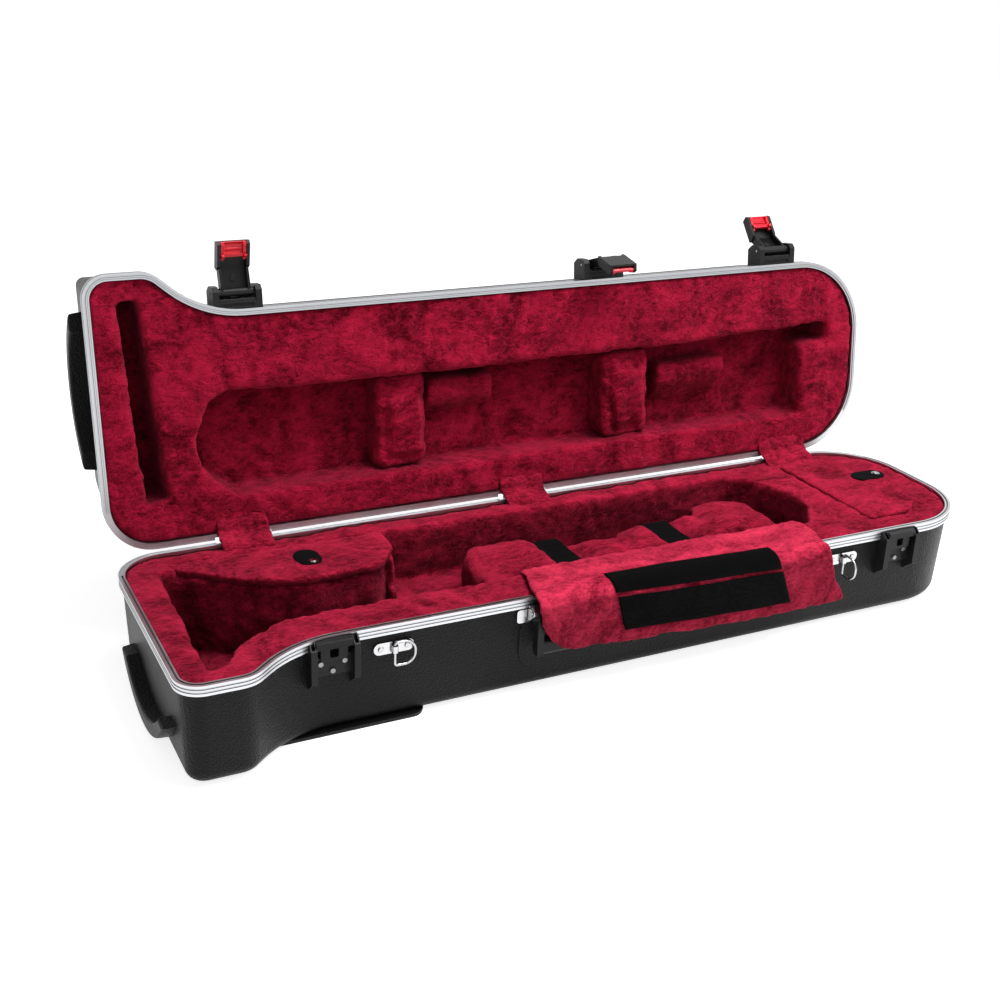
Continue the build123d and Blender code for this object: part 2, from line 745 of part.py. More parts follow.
base_slope = math.tan(math.radians(base_draft))
lid_slope = math.tan(math.radians(lid_draft))
leaf_low_y = leaf_face - base_slope * (rim_height - leaf_root - leaf_low)
leaf_high_y = leaf_face - lid_slope * (leaf_high - draft_start)
with BuildPart() as hinge_base_leaves:
    for centre in hinge_centres:
        with BuildSketch(Plane.YZ.offset(centre - leaf_half)):
            with BuildLine():
                Polyline(
                    (leaf_low_y, leaf_low), (leaf_low_y + leaf_thick, leaf_low),
                    (leaf_face + leaf_thick, rim_height - leaf_root),
                    (leaf_face, rim_height - leaf_root), close=True)
            make_face()
        extrude(amount=2 * leaf_half)
        for start in (centre - leaf_half, centre + leaf_mid):
            with BuildSketch(Plane.YZ.offset(start)):
                with BuildLine():
                    Polyline(
                        (leaf_face, rim_height - leaf_root - 1),
                        (leaf_face + leaf_thick, rim_height - leaf_root - 1),
                        (hinge_y + 0.5, rim_height - knuckle_radius + 0.1), (hinge_y - 2, rim_height - 1),
                        (leaf_face, rim_height - 3.5), close=True)
                make_face()
                with Locations((hinge_y, rim_height)):
                    Circle(knuckle_radius)
            extrude(amount=leaf_half - leaf_mid)
        with BuildSketch(Plane.YZ.offset(centre - leaf_half - 1)):
            with Locations((hinge_y, rim_height)):
                Circle(pin_radius + run_gap)
        extrude(amount=2 * leaf_half + 2, mode=Mode.SUBTRACT)
        with BuildSketch(back_plane(leaf_face + 3)):
            for up in base_rivets_up:
                with Locations((-centre - 15, up), (-centre + 15, up)):
                    Circle(shank_radius)
        extrude(amount=-8, mode=Mode.SUBTRACT)
save(hinge_base_leaves.part, "hinge_base_leaves")

with BuildPart() as hinge_lid_leaves:
    for centre in hinge_centres:
        with BuildSketch(lid_side(centre - leaf_half)):
            with BuildLine():
                Polyline(
                    (leaf_high_y, leaf_high), (leaf_high_y + leaf_thick, leaf_high),
                    (leaf_face + leaf_thick, draft_start), (leaf_face + leaf_thick, rim_height + leaf_root),
                    (leaf_face, rim_height + leaf_root), (leaf_face, draft_start), close=True)
            make_face()
        extrude(amount=2 * leaf_half)
        with BuildSketch(lid_side(centre - leaf_mid + 0.3)):
            with BuildLine():
                Polyline(
                    (leaf_face, rim_height + leaf_root + 1),
                    (leaf_face + leaf_thick, rim_height + leaf_root + 1),
                    (hinge_y + 0.5, rim_height + knuckle_radius - 0.1), (hinge_y - 2, rim_height + 1),
                    (leaf_face, rim_height + 3.5), close=True)
            make_face()
            with Locations((hinge_y, rim_height)):
                Circle(knuckle_radius)
        extrude(amount=2 * leaf_mid - 0.6)
        with BuildSketch(lid_side(centre - leaf_half - 1)):
            with Locations((hinge_y, rim_height)):
                Circle(pin_radius + run_gap)
        extrude(amount=2 * leaf_half + 2, mode=Mode.SUBTRACT)
        with BuildSketch(lid_back(leaf_face + 3)):
            for up in lid_rivets_up:
                with Locations((-centre - 15, up), (-centre + 15, up)):
                    Circle(shank_radius)
        extrude(amount=-10, mode=Mode.SUBTRACT)
save(hinge_lid_leaves.part, "hinge_lid_leaves")

with BuildPart() as hinge_pins:
    for centre in hinge_centres:
        with BuildSketch(Plane.YZ.offset(centre - leaf_half - 1)):
            with Locations((hinge_y, rim_height)):
                Circle(pin_radius)
        extrude(amount=2 * leaf_half + 2)
save(hinge_pins.part, "hinge_pins")

with BuildPart() as hinge_base_rivets:
    for centre in hinge_centres:
        for across in (-15, 15):
            for up in base_rivets_up:
                face = leaf_face + leaf_thick - base_slope * (rim_height - leaf_root - up) + 0.15
                with BuildSketch(back_plane(face)):
                    with Locations((-centre + across, up)):
                        Circle(2.7)
                extrude(amount=1.2, taper=22)
                with BuildSketch(back_plane(face)):
                    with Locations((-centre + across, up)):
                        Circle(shank_radius - 0.1)
                extrude(amount=-1.5)
save(hinge_base_rivets.part, "hinge_base_rivets")

with BuildPart() as hinge_lid_rivets:
    for centre in hinge_centres:
        for across in (-15, 15):
            for up in lid_rivets_up:
                face = leaf_face + leaf_thick - lid_slope * (up - draft_start) + 0.36
                with BuildSketch(lid_back(face)):
                    with Locations((-centre + across, up)):
                        Circle(2.7)
                extrude(amount=1.2, taper=22)
                with BuildSketch(lid_back(face)):
                    with Locations((-centre + across, up)):
                        Circle(shank_radius - 0.2)
                extrude(amount=-1.5)
save(hinge_lid_rivets.part, "hinge_lid_rivets")

# Plush strips over the hinges, from the base lining to the lid lining

with BuildPart() as hinge_covers:
    for centre, width in zip(hinge_centres, hinge_widths):
        with BuildSketch(Plane.YZ.offset(centre - width / 2)):
            with BuildLine():
                Polyline(
                    (124, top - 3.7), (131.2, top - 3.7), (131.2, top + 0.2), (134.6, top + 0.5),
                    (136.6, top + 3.6), (139.9, top + 4.2), (140.7, top + 8.3), (144.4, top + 8.3),
                    (145.1, top + 14.5), (141, top + 15.4), (137.3, top + 11), (133.6, top + 6),
                    (129, top + 3), (124, top - 0.6), close=True)
            make_face()
        extrude(amount=width)
save(hinge_covers.part, "hinge_covers")

# Plush flap folded out over the front rim: a root over the rim and an end that hangs outside

with BuildPart() as flap_root:
    with BuildSketch(Plane.YZ.offset(-98)):
        with BuildLine():
            Polyline(
                (-38.9, top - 12), (-39.6, top - 4), (-43, top - 3.4), (-70, top - 1.8), (-88, top + 0.2),
                (-93, top + 0.3), (-93, top + 6), (-66, top + 4.6), (-44, top + 2.4), (-36.5, top - 1),
                (-33.4, top - 7), (-33.4, top - 12), close=True)
        make_face()
    extrude(amount=345)
save(flap_root.part, "flap_root")

with BuildPart() as flap_end:
    with BuildSketch(Plane.YZ.offset(-110)):
        with BuildLine():
            Spline((-93.4, top + 0.3), (-101, top - 0.4), (-107.2, top - 4), (-110.4, top - 11),
                   (-111.4, top - 22), tangents=((-1, 0), (0, -1)))
            Polyline((-111.4, top - 22), (-111.8, top - 68), (-117.4, top - 68), (-117.1, top - 22))
            Spline((-117.1, top - 22), (-116, top - 8), (-111, top + 0.6), (-103, top + 5),
                   (-93.4, top + 6), tangents=((0, 1), (1, 0)))
            Line((-93.4, top + 6), (-93.4, top + 0.3))
        make_face()
    extrude(amount=390)
    with BuildSketch(Plane.XZ.offset(90)) as flap_face:
        with BuildLine():
            Polyline(
                (-99, top + 10), (-103, top - 14), (-102, top - 40), (-86, top - 57), (-40, top - 60),
                (150, top - 61), (258, top - 66), (268, top - 59), (254, top - 32), (236, top - 9),
                (232, top + 10), close=True)
        make_face()
        for x, z, radius in (
                (-102, top - 40, 14), (-86, top - 57, 14), (258, top - 66, 6), (268, top - 59, 6)):
            fillet(flap_face.vertices().sort_by_distance((x, -90, z))[0], radius)
    extrude(amount=40, mode=Mode.INTERSECT)
save(flap_end.part, "flap_end")

with BuildPart() as loop_strip_upper:
    with BuildSketch(Plane.YZ.offset(-24)):
        with BuildLine():
            Spline((-93.6, top + 6.3), (-103.2, top + 5.3), (-111.3, top + 0.8), (-116.3, top - 7.9),
                   tangents=((-1, 0), (-0.15, -1)))
            Line((-116.3, top - 7.9), (-117.6, top - 7.6))
            Spline((-117.6, top - 7.6), (-112.2, top + 1.8), (-103.6, top + 6.6), (-93.6, top + 7.6),
                   tangents=((0.15, 1), (1, 0)))
            Line((-93.6, top + 7.6), (-93.6, top + 6.3))
        make_face()
    extrude(amount=196)
save(loop_strip_upper.part, "loop_strip_upper")

with BuildPart() as loop_strip_lower:
    with BuildSketch(Plane.XZ.offset(117.7)):
        with BuildLine():
            Polyline((-20, top - 14), (178, top - 18), (192, top - 53), (-10, top - 49), close=True)
        make_face()
    extrude(amount=1.3)
save(loop_strip_lower.part, "loop_strip_lower")

# Lid lining: plush over a moulded body with a long slide well, a bell slot and an end groove

lining_lid_low = rim_height + lining_drop
lining_lid_thick = 56.0
lid_well_depth = 46.0
lid_slot_depth = 48.0

with BuildPart() as lid_lining:
    with BuildSketch(lid_plane(lining_lid_low)):
        add(rim_outline(-lining_inset))
    extrude(amount=lining_lid_thick, taper=lid_draft)
    with BuildSketch(lid_plane(lining_lid_low)) as lid_well:
        with BuildLine():
            Polyline(
                (-354, -8), (-330, -17), (-257, -12), (235, -14), (300, -17), (424, -22), (426, 6),
                (386, 6), (386, 94), (-328, 97), (-351, 80), (-366, 62), (-371, 34), close=True)
        make_face()
        for x, y, radius in (
                (-354, -8, 14), (-330, -17, 12), (424, -22, 6), (426, 6, 6), (386, 94, 10),
                (-328, 97, 12), (-371, 34, 20)):
            fillet(
                lid_well.vertices().sort_by_distance(
                    lid_plane(lining_lid_low).from_local_coords((x, y, 0)))[0], radius)
    extrude(amount=lid_well_depth, taper=3, mode=Mode.SUBTRACT)
    with BuildSketch(lid_plane(lining_lid_low)):
        with BuildLine():
            Polyline((-437, -111), (-413, -112), (-399, 90), (-424, 94), close=True)
        make_face()
    extrude(amount=lid_slot_depth, taper=2, mode=Mode.SUBTRACT)
save(lid_lining.part, "lid_lining")

# Plush holder blocks and wedge pads standing in the lid's slide well

holder_floor = lining_lid_low + lid_well_depth - 0.3
holder_low = rim_height + 16.0

for name, start, end in (("left", -168, -114), ("right", 110, 170)):
    middle = (start + end) / 2
    with BuildPart() as lid_holder:
        with BuildSketch(lid_plane(holder_low)):
            with Locations((middle, 41)):
                RectangleRounded(end - start, 100, 8)
        extrude(amount=holder_floor - holder_low)
        fillet(lid_holder.faces().sort_by(lid_up)[0].edges(), 5)
        with BuildSketch(lid_plane(holder_low - 6)):
            with Locations((middle + 3, 45)):
                RectangleRounded((end - start) * 0.68, 62, 6)
        extrude(amount=14)
        fillet(lid_holder.faces().sort_by(lid_up)[0].edges(), 4)
    save(lid_holder.part, "lid_holder_" + name)

for name, start, end, near, far in (("left", -106, -28, -1, 42), ("right", 191, 282, 12, 62)):
    with BuildPart() as lid_wedge:
        with BuildSketch(lid_side(start)):
            with BuildLine():
                Polyline(
                    (near, holder_floor), (near + 3, rim_height + 27), (near + 14, rim_height + 23),
                    (near + 27, rim_height + 28), (far, holder_floor), close=True)
            make_face()
        extrude(amount=end - start)
        fillet(lid_wedge.edges().filter_by(Axis.X).sort_by(lid_up)[0:3], 4)
    save(lid_wedge.part, "lid_wedge_" + name)

# Latch brackets on the lid, each with two cheeks, a web and a recessed panel

bracket_half = 25.0
cheek_thick = 6.4
bracket_low = top + 0.6
web_front = -103.0
latch_pin = 1.5
bracket_rivets_at = ((-9.0, top + 15), (9.0, top + 15))

for name, centre in zip(latch_names, latch_centres):
    with BuildPart() as bracket:
        for start in (centre - bracket_half, centre + bracket_half - cheek_thick):
            with BuildSketch(lid_side(start)):
                with BuildLine():
                    Polyline(
                        (-84, bracket_low), (-114, bracket_low), (-118.5, top + 5), (-118.5, top + 17),
                        (-113, top + 25), (-84, top + 25), close=True)
                make_face()
            extrude(amount=cheek_thick)
        with BuildSketch(lid_side(centre - bracket_half + cheek_thick)):
            with BuildLine():
                Polyline(
                    (-84, bracket_low), (web_front, bracket_low), (web_front, top + 21), (-84, top + 21),
                    close=True)
            make_face()
        extrude(amount=2 * (bracket_half - cheek_thick))
        add(lid_space.part, mode=Mode.SUBTRACT)
        with BuildSketch(lid_side(centre - bracket_half - 1)):
            with Locations((pivot_y, pivot_z)):
                Circle(latch_pin + run_gap)
        extrude(amount=2 * bracket_half + 2, mode=Mode.SUBTRACT)
        with BuildSketch(lid_plane(bracket_low)):
            with Locations((centre, -99.6)):
                Rectangle(31, 3.4)
        extrude(amount=1.2, mode=Mode.SUBTRACT)
        with BuildSketch(lid_front(web_front)):
            for across, up in bracket_rivets_at:
                with Locations((centre + across, up)):
                    Circle(shank_radius + 0.1)
        extrude(amount=-12, mode=Mode.SUBTRACT)
    save(bracket.part, "latch_bracket_" + name)

with BuildPart() as latch_pins:
    for centre in latch_centres:
        with BuildSketch(lid_side(centre - bracket_half + 0.4)):
            with Locations((pivot_y, pivot_z)):
                Circle(latch_pin)
        extrude(amount=2 * bracket_half - 0.8)
save(latch_pins.part, "latch_pins")

with BuildPart() as bracket_rivets:
    for centre in latch_centres:
        for across, up in bracket_rivets_at:
            with BuildSketch(lid_front(web_front - 0.05)):
                with Locations((centre + across, up)):
                    Circle(rivet_radius)
            extrude(amount=rivet_rise, taper=22)
            with BuildSketch(lid_front(web_front - 0.05)):
                with Locations((centre + across, up)):
                    Circle(shank_radius)
            extrude(amount=-6)
save(bracket_rivets.part, "bracket_rivets")

# Latch levers: a channelled arm with a bent head, and a trigger held between the head's cheeks

arm_half = 15.0
head_half = 16.5
arm_out = -5.0
plate_thick = 2.4
bend_y = -28.0
bend_angle = 28.0
head_length = 25.0
head_depth = 10.5
along = (math.sin(math.radians(bend_angle)), -math.cos(math.radians(bend_angle)))
inward = (math.cos(math.radians(bend_angle)), math.sin(math.radians(bend_angle)))
trigger_half = 12.8
trigger_at = (19.0, 6.8)
axle_radius = 1.4


def head_point(s, t):
    """Point of a lever head, s along it from the bend and t in from its outer face."""
    return (arm_out + s * along[0] + t * inward[0], bend_y + s * along[1] + t * inward[1])


for name, centre, angle in zip(latch_names, latch_centres, latch_angles):
    with BuildPart() as lever:
        with BuildSketch(lever_side(centre - arm_half, angle)):
            with BuildLine():
                Polyline(
                    (arm_out, 3), (arm_out + 1, 4.2), (0, 4.2), (arm_out + plate_thick, 2),
                    (arm_out + plate_thick, bend_y + 0.6), head_point(head_length, plate_thick),
                    head_point(head_length, 0), (arm_out, bend_y), close=True)
            make_face()
        extrude(amount=2 * arm_half)
        for start in (centre - arm_half, centre + arm_half - 2.6):
            with BuildSketch(lever_side(start, angle)):
                with BuildLine():
                    Polyline(
                        (arm_out, 3), (0, 4), (4, 0), (5, -6), (4.6, bend_y + 5), (arm_out, bend_y),
                        close=True)
                make_face()
            extrude(amount=2.6)
        for start in (centre - head_half, centre + head_half - 3.3):
            with BuildSketch(lever_side(start, angle)):
                with BuildLine():
                    Polyline(
                        head_point(-3, 0), head_point(head_length, 0),
                        head_point(head_length + 2.5, head_depth - 3), head_point(head_length, head_depth),
                        head_point(2, head_depth), head_point(-3, 6), close=True)
                make_face()
            extrude(amount=3.3)
        with BuildSketch(lever_side(centre - bracket_half + cheek_thick + 0.4, angle)):
            Circle(4.4)
        extrude(amount=2 * (bracket_half - cheek_thick - 0.4))
        with BuildSketch(lever_front(centre, angle, -arm_out - plate_thick)):
            with Locations((0, -14)):
                Circle(3.6)
        extrude(amount=-0.8)
        with BuildSketch(lever_side(centre - bracket_half, angle)):
            Circle(latch_pin + run_gap)
        extrude(amount=2 * bracket_half, mode=Mode.SUBTRACT)
        with BuildSketch(lever_side(centre - axle_radius - 13.4, angle)):
            with Locations(head_point(*trigger_at)):
                Circle(axle_radius + 0.08)
        extrude(amount=2 * (axle_radius + 13.4), mode=Mode.SUBTRACT)
        with BuildSketch(lever_front(centre, angle, -arm_out)):
            with Locations((0, -8)):
                Circle(2.2)
            with Locations((0, -16)):
                Circle(1.5)
        extrude(amount=-0.9, mode=Mode.SUBTRACT)
    save(lever.part, "latch_lever_" + name)

    with BuildPart() as dot:
        with BuildSketch(lever_front(centre, angle, -arm_out)):
            with Locations((0, -8)):
                Circle(2.1)
        extrude(amount=-0.8)
    save(dot.part, "lever_dot_" + name)

    with BuildPart() as trigger:
        with BuildSketch(lever_side(centre - trigger_half, angle)):
            with BuildLine():
                Polyline(
                    head_point(11.5, 4.8), head_point(25, 4.8), head_point(26.5, 6), head_point(26.5, 9),
                    head_point(24.5, 10.4), head_point(11.5, 9.6), close=True)
            make_face()
        extrude(amount=2 * trigger_half)
        with BuildSketch(lever_side(centre - trigger_half + 3.2, angle)):
            with BuildLine():
                Polyline(
                    head_point(15, 12), head_point(15, 8.4), head_point(17, 7), head_point(24, 7),
                    head_point(27, 8.6), head_point(27, 12), close=True)
            make_face()
        extrude(amount=2 * (trigger_half - 3.2), mode=Mode.SUBTRACT)
        for start in (centre - trigger_half, centre + trigger_half - 3):
            with BuildSketch(lever_side(start, angle)):
                with BuildLine():
                    Polyline(
                        head_point(8, 6.4), head_point(14, 6.4), head_point(14.5, 12.6),
                        head_point(13.4, 13.2), head_point(11, 12.6), head_point(11, 9.2),
                        head_point(8, 9), close=True)
                make_face()
            extrude(amount=3)
        with BuildSketch(lever_side(centre - 14.5, angle)):
            with Locations(head_point(*trigger_at)):
                Circle(axle_radius)
        extrude(amount=29)
    save(trigger.part, "trigger_" + name)
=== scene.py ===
import math

import bmesh
import bpy
from mathutils import Matrix, Vector, noise
from mathutils.bvhtree import BVHTree


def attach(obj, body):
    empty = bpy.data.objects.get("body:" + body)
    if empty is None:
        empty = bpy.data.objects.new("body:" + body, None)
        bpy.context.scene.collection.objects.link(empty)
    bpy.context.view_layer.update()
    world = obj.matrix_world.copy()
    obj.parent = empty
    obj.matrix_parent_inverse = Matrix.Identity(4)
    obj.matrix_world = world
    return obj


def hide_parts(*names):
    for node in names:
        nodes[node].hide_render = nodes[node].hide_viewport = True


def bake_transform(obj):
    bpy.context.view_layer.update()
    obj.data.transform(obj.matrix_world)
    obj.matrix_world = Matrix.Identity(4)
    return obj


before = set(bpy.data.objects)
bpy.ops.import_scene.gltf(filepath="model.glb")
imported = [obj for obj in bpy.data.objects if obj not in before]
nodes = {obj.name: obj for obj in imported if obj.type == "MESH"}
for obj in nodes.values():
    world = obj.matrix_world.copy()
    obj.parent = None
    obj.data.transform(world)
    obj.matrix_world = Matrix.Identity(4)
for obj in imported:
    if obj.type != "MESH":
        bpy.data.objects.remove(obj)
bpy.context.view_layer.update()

print("frame loaded:", len(nodes), "nodes")


# Small helpers for shader trees

def addNode(tree, kind, x, y, settings=None, inputs=None):
    made = tree.nodes.new(kind)
    made.location = (x, y)
    for name, value in (settings or {}).items():
        setattr(made, name, value)
    for name, value in (inputs or {}).items():
        made.inputs[name].default_value = value
    return made


def wire(tree, source, output, target, socket):
    tree.links.new(source.outputs[output], target.inputs[socket])


def newGroup(name, inputs, outputs):
    tree = bpy.data.node_groups.new(name, "ShaderNodeTree")
    for label, kind, value in inputs:
        socket = tree.interface.new_socket(label, in_out="INPUT", socket_type=kind)
        socket.default_value = value
    for label, kind in outputs:
        tree.interface.new_socket(label, in_out="OUTPUT", socket_type=kind)
    start = addNode(tree, "NodeGroupInput", -1200, 0)
    end = addNode(tree, "NodeGroupOutput", 900, 0)
    return tree, start, end


def placeGroup(tree, group, x, y, values=None):
    made = addNode(tree, "ShaderNodeGroup", x, y)
    made.node_tree = group
    for name, value in (values or {}).items():
        made.inputs[name].default_value = value
    return made


def mathNode(tree, operation, x, y, first=None, second=None, clamp=False):
    made = addNode(tree, "ShaderNodeMath", x, y, {"operation": operation, "use_clamp": clamp})
    if first is not None:
        made.inputs[0].default_value = first
    if second is not None:
        made.inputs[1].default_value = second
    return made


def mixColour(tree, x, y, blend="MIX", factor=0.5):
    made = addNode(tree, "ShaderNodeMix", x, y, {"data_type": "RGBA", "blend_type": blend})
    made.inputs[0].default_value = factor
    return made


def rangeNode(tree, x, y, low, high, first, last):
    return addNode(tree, "ShaderNodeMapRange", x, y,
                   inputs={"From Min": low, "From Max": high, "To Min": first, "To Max": last})


floatSocket = "NodeSocketFloat"
colourSocket = "NodeSocketColor"

# The colour sockets of a mix node share their names with its other sockets, so they go by place
mixFirst = 6
mixSecond = 7
mixResult = 2


# Effects shared by several finishes

def makePile():
    tree, start, end = newGroup(
        "pileTone",
        [("Tip", colourSocket, (0.5, 0.03, 0.08, 1)), ("Root", colourSocket, (0.1, 0.003, 0.01, 1)),
         ("Patch Scale", floatSocket, 18.0), ("Patch Depth", floatSocket, 1.0),
         ("Tuft Scale", floatSocket, 190.0), ("Contrast", floatSocket, 1.0)],
        [("Colour", colourSocket), ("Mask", floatSocket), ("Height", floatSocket)])
    place = addNode(tree, "ShaderNodeTexCoord", -1200, 300)
    combed = addNode(tree, "ShaderNodeMapping", -1000, 60,
                     inputs={"Rotation": (0.5, 0.4, 0.6), "Scale": (0.55, 1.25, 1.0)})
    patch = addNode(tree, "ShaderNodeTexNoise", -760, 420,
                    inputs={"Detail": 4.0, "Roughness": 0.62, "Distortion": 2.0})
    tuft = addNode(tree, "ShaderNodeTexNoise", -760, 120,
                   inputs={"Detail": 4.0, "Roughness": 0.6, "Distortion": 0.9})
    fibre = addNode(tree, "ShaderNodeTexNoise", -760, -160,
                    inputs={"Scale": 900.0, "Detail": 3.0, "Roughness": 0.7, "Distortion": 0.6})
    wire(tree, place, "Object", combed, "Vector")
    wire(tree, place, "Object", patch, "Vector")
    for texture in (tuft, fibre):
        wire(tree, combed, 0, texture, "Vector")
    wire(tree, start, "Patch Scale", patch, "Scale")
    wire(tree, start, "Tuft Scale", tuft, "Scale")
    spread = rangeNode(tree, -520, 420, 0.34, 0.66, -0.2, 0.2)
    wire(tree, patch, 0, spread, 0)
    tuftSpread = rangeNode(tree, -520, 140, 0.32, 0.68, -0.34, 0.34)
    wire(tree, tuft, 0, tuftSpread, 0)
    fibreSpread = rangeNode(tree, -520, -140, 0.32, 0.68, -0.30, 0.30)
    wire(tree, fibre, 0, fibreSpread, 0)
    both = mathNode(tree, "MULTIPLY_ADD", -300, 300)
    wire(tree, spread, 0, both, 0)
    wire(tree, start, "Patch Depth", both, 1)
    wire(tree, tuftSpread, 0, both, 2)
    every = mathNode(tree, "ADD", -200, 140)
    wire(tree, both, 0, every, 0)
    wire(tree, fibreSpread, 0, every, 1)
    strong = mathNode(tree, "MULTIPLY", -60, 300)
    wire(tree, every, 0, strong, 0)
    wire(tree, start, "Contrast", strong, 1)
    # Painted shade and light: pointiness darkens the creases between tufts and lightens their crests
    form = addNode(tree, "ShaderNodeNewGeometry", -520, -380)
    creaseShadeCrestLight = rangeNode(tree, -300, -380, 0.42, 0.58, -0.28, 0.22)
    wire(tree, form, "Pointiness", creaseShadeCrestLight, 0)
    toned = mathNode(tree, "ADD", 100, 300)
    wire(tree, strong, 0, toned, 0)
    wire(tree, creaseShadeCrestLight, 0, toned, 1)
    lifted = mathNode(tree, "ADD", 260, 300, second=0.55, clamp=True)
    wire(tree, toned, 0, lifted, 0)
    colour = mixColour(tree, 460, 240)
    wire(tree, lifted, 0, colour, 0)
    wire(tree, start, "Root", colour, mixFirst)
    wire(tree, start, "Tip", colour, mixSecond)
    fine = mathNode(tree, "MULTIPLY", -300, -120, second=0.4)
    wire(tree, fibre, 0, fine, 0)
    height = mathNode(tree, "ADD", 60, -60)
    wire(tree, tuft, 0, height, 0)
    wire(tree, fine, 0, height, 1)
    wire(tree, colour, mixResult, end, "Colour")
    wire(tree, lifted, 0, end, "Mask")
    wire(tree, height, 0, end, "Height")
    return tree


def makeGrain():
    tree, start, end = newGroup(
        "mouldGrain",
        [("Scale", floatSocket, 900.0), ("Unevenness", floatSocket, 0.1), ("Roughness", floatSocket, 0.5)],
        [("Height", floatSocket), ("Roughness", floatSocket)])
    place = addNode(tree, "ShaderNodeTexCoord", -1000, 300)
    cells = addNode(tree, "ShaderNodeTexVoronoi", -760, 260, {"feature": "SMOOTH_F1"}, {"Smoothness": 0.7})
    speck = addNode(tree, "ShaderNodeTexNoise", -760, 0, inputs={"Detail": 3.0, "Roughness": 0.6})
    broad = addNode(tree, "ShaderNodeTexNoise", -760, -260,
                    inputs={"Scale": 14.0, "Detail": 3.0, "Roughness": 0.55})
    for texture in (cells, speck, broad):
        wire(tree, place, "Object", texture, "Vector")
    wire(tree, start, "Scale", cells, "Scale")
    wire(tree, start, "Scale", speck, "Scale")
    height = mathNode(tree, "MULTIPLY_ADD", -420, 200, second=0.6)
    wire(tree, cells, 0, height, 0)
    wire(tree, speck, 0, height, 2)
    centred = mathNode(tree, "SUBTRACT", -420, -200, second=0.5)
    wire(tree, broad, 0, centred, 0)
    uneven = mathNode(tree, "MULTIPLY", -220, -200)
    wire(tree, centred, 0, uneven, 0)
    wire(tree, start, "Unevenness", uneven, 1)
    rough = mathNode(tree, "ADD", 0, -160, clamp=True)
    wire(tree, uneven, 0, rough, 0)
    wire(tree, start, "Roughness", rough, 1)
    wire(tree, height, 0, end, "Height")
    wire(tree, rough, 0, end, "Roughness")
    return tree


def makeWear():
    tree, start, end = newGroup(
        "edgeWear",
        [("Colour", colourSocket, (0.02, 0.02, 0.02, 1)), ("Worn", colourSocket, (0.2, 0.2, 0.2, 1)),
         ("Amount", floatSocket, 0.3), ("Edge", floatSocket, 0.54)],
        [("Colour", colourSocket), ("Mask", floatSocket)])
    form = addNode(tree, "ShaderNodeNewGeometry", -1000, 300)
    place = addNode(tree, "ShaderNodeTexCoord", -1000, 0)
    broken = addNode(tree, "ShaderNodeTexNoise", -760, 0,
                     inputs={"Scale": 120.0, "Detail": 5.0, "Roughness": 0.7})
    wire(tree, place, "Object", broken, "Vector")
    beyond = mathNode(tree, "SUBTRACT", -700, 300)
    wire(tree, form, "Pointiness", beyond, 0)
    wire(tree, start, "Edge", beyond, 1)
    sharp = mathNode(tree, "MULTIPLY", -520, 300, second=14.0, clamp=True)
    wire(tree, beyond, 0, sharp, 0)
    patchy = mathNode(tree, "MULTIPLY", -320, 200)
    wire(tree, sharp, 0, patchy, 0)
    wire(tree, broken, 0, patchy, 1)
    amount = mathNode(tree, "MULTIPLY", -120, 200, clamp=True)
    wire(tree, patchy, 0, amount, 0)
    wire(tree, start, "Amount", amount, 1)
    colour = mixColour(tree, 160, 160)
    wire(tree, amount, 0, colour, 0)
    wire(tree, start, "Colour", colour, mixFirst)
    wire(tree, start, "Worn", colour, mixSecond)
    wire(tree, colour, mixResult, end, "Colour")
    wire(tree, amount, 0, end, "Mask")
    return tree


def makeSmudge():
    tree, start, end = newGroup(
        "handledMetal",
        [("Base", floatSocket, 0.1), ("Spread", floatSocket, 0.1), ("Scale", floatSocket, 60.0)],
        [("Roughness", floatSocket), ("Height", floatSocket)])
    place = addNode(tree, "ShaderNodeTexCoord", -1000, 200)
    cloud = addNode(tree, "ShaderNodeTexNoise", -740, 200, inputs={"Detail": 4.0, "Roughness": 0.6})
    along = addNode(tree, "ShaderNodeMapping", -820, -120, inputs={"Scale": (6.0, 700.0, 700.0)})
    lines = addNode(tree, "ShaderNodeTexNoise", -560, -120, inputs={"Scale": 1.0, "Detail": 3.0})
    wire(tree, place, "Object", cloud, "Vector")
    wire(tree, start, "Scale", cloud, "Scale")
    wire(tree, place, "Object", along, "Vector")
    wire(tree, along, 0, lines, "Vector")
    scaled = mathNode(tree, "MULTIPLY", -420, 200)
    wire(tree, cloud, 0, scaled, 0)
    wire(tree, start, "Spread", scaled, 1)
    rough = mathNode(tree, "ADD", -200, 200, clamp=True)
    wire(tree, scaled, 0, rough, 0)
    wire(tree, start, "Base", rough, 1)
    wire(tree, rough, 0, end, "Roughness")
    wire(tree, lines, 0, end, "Height")
    return tree


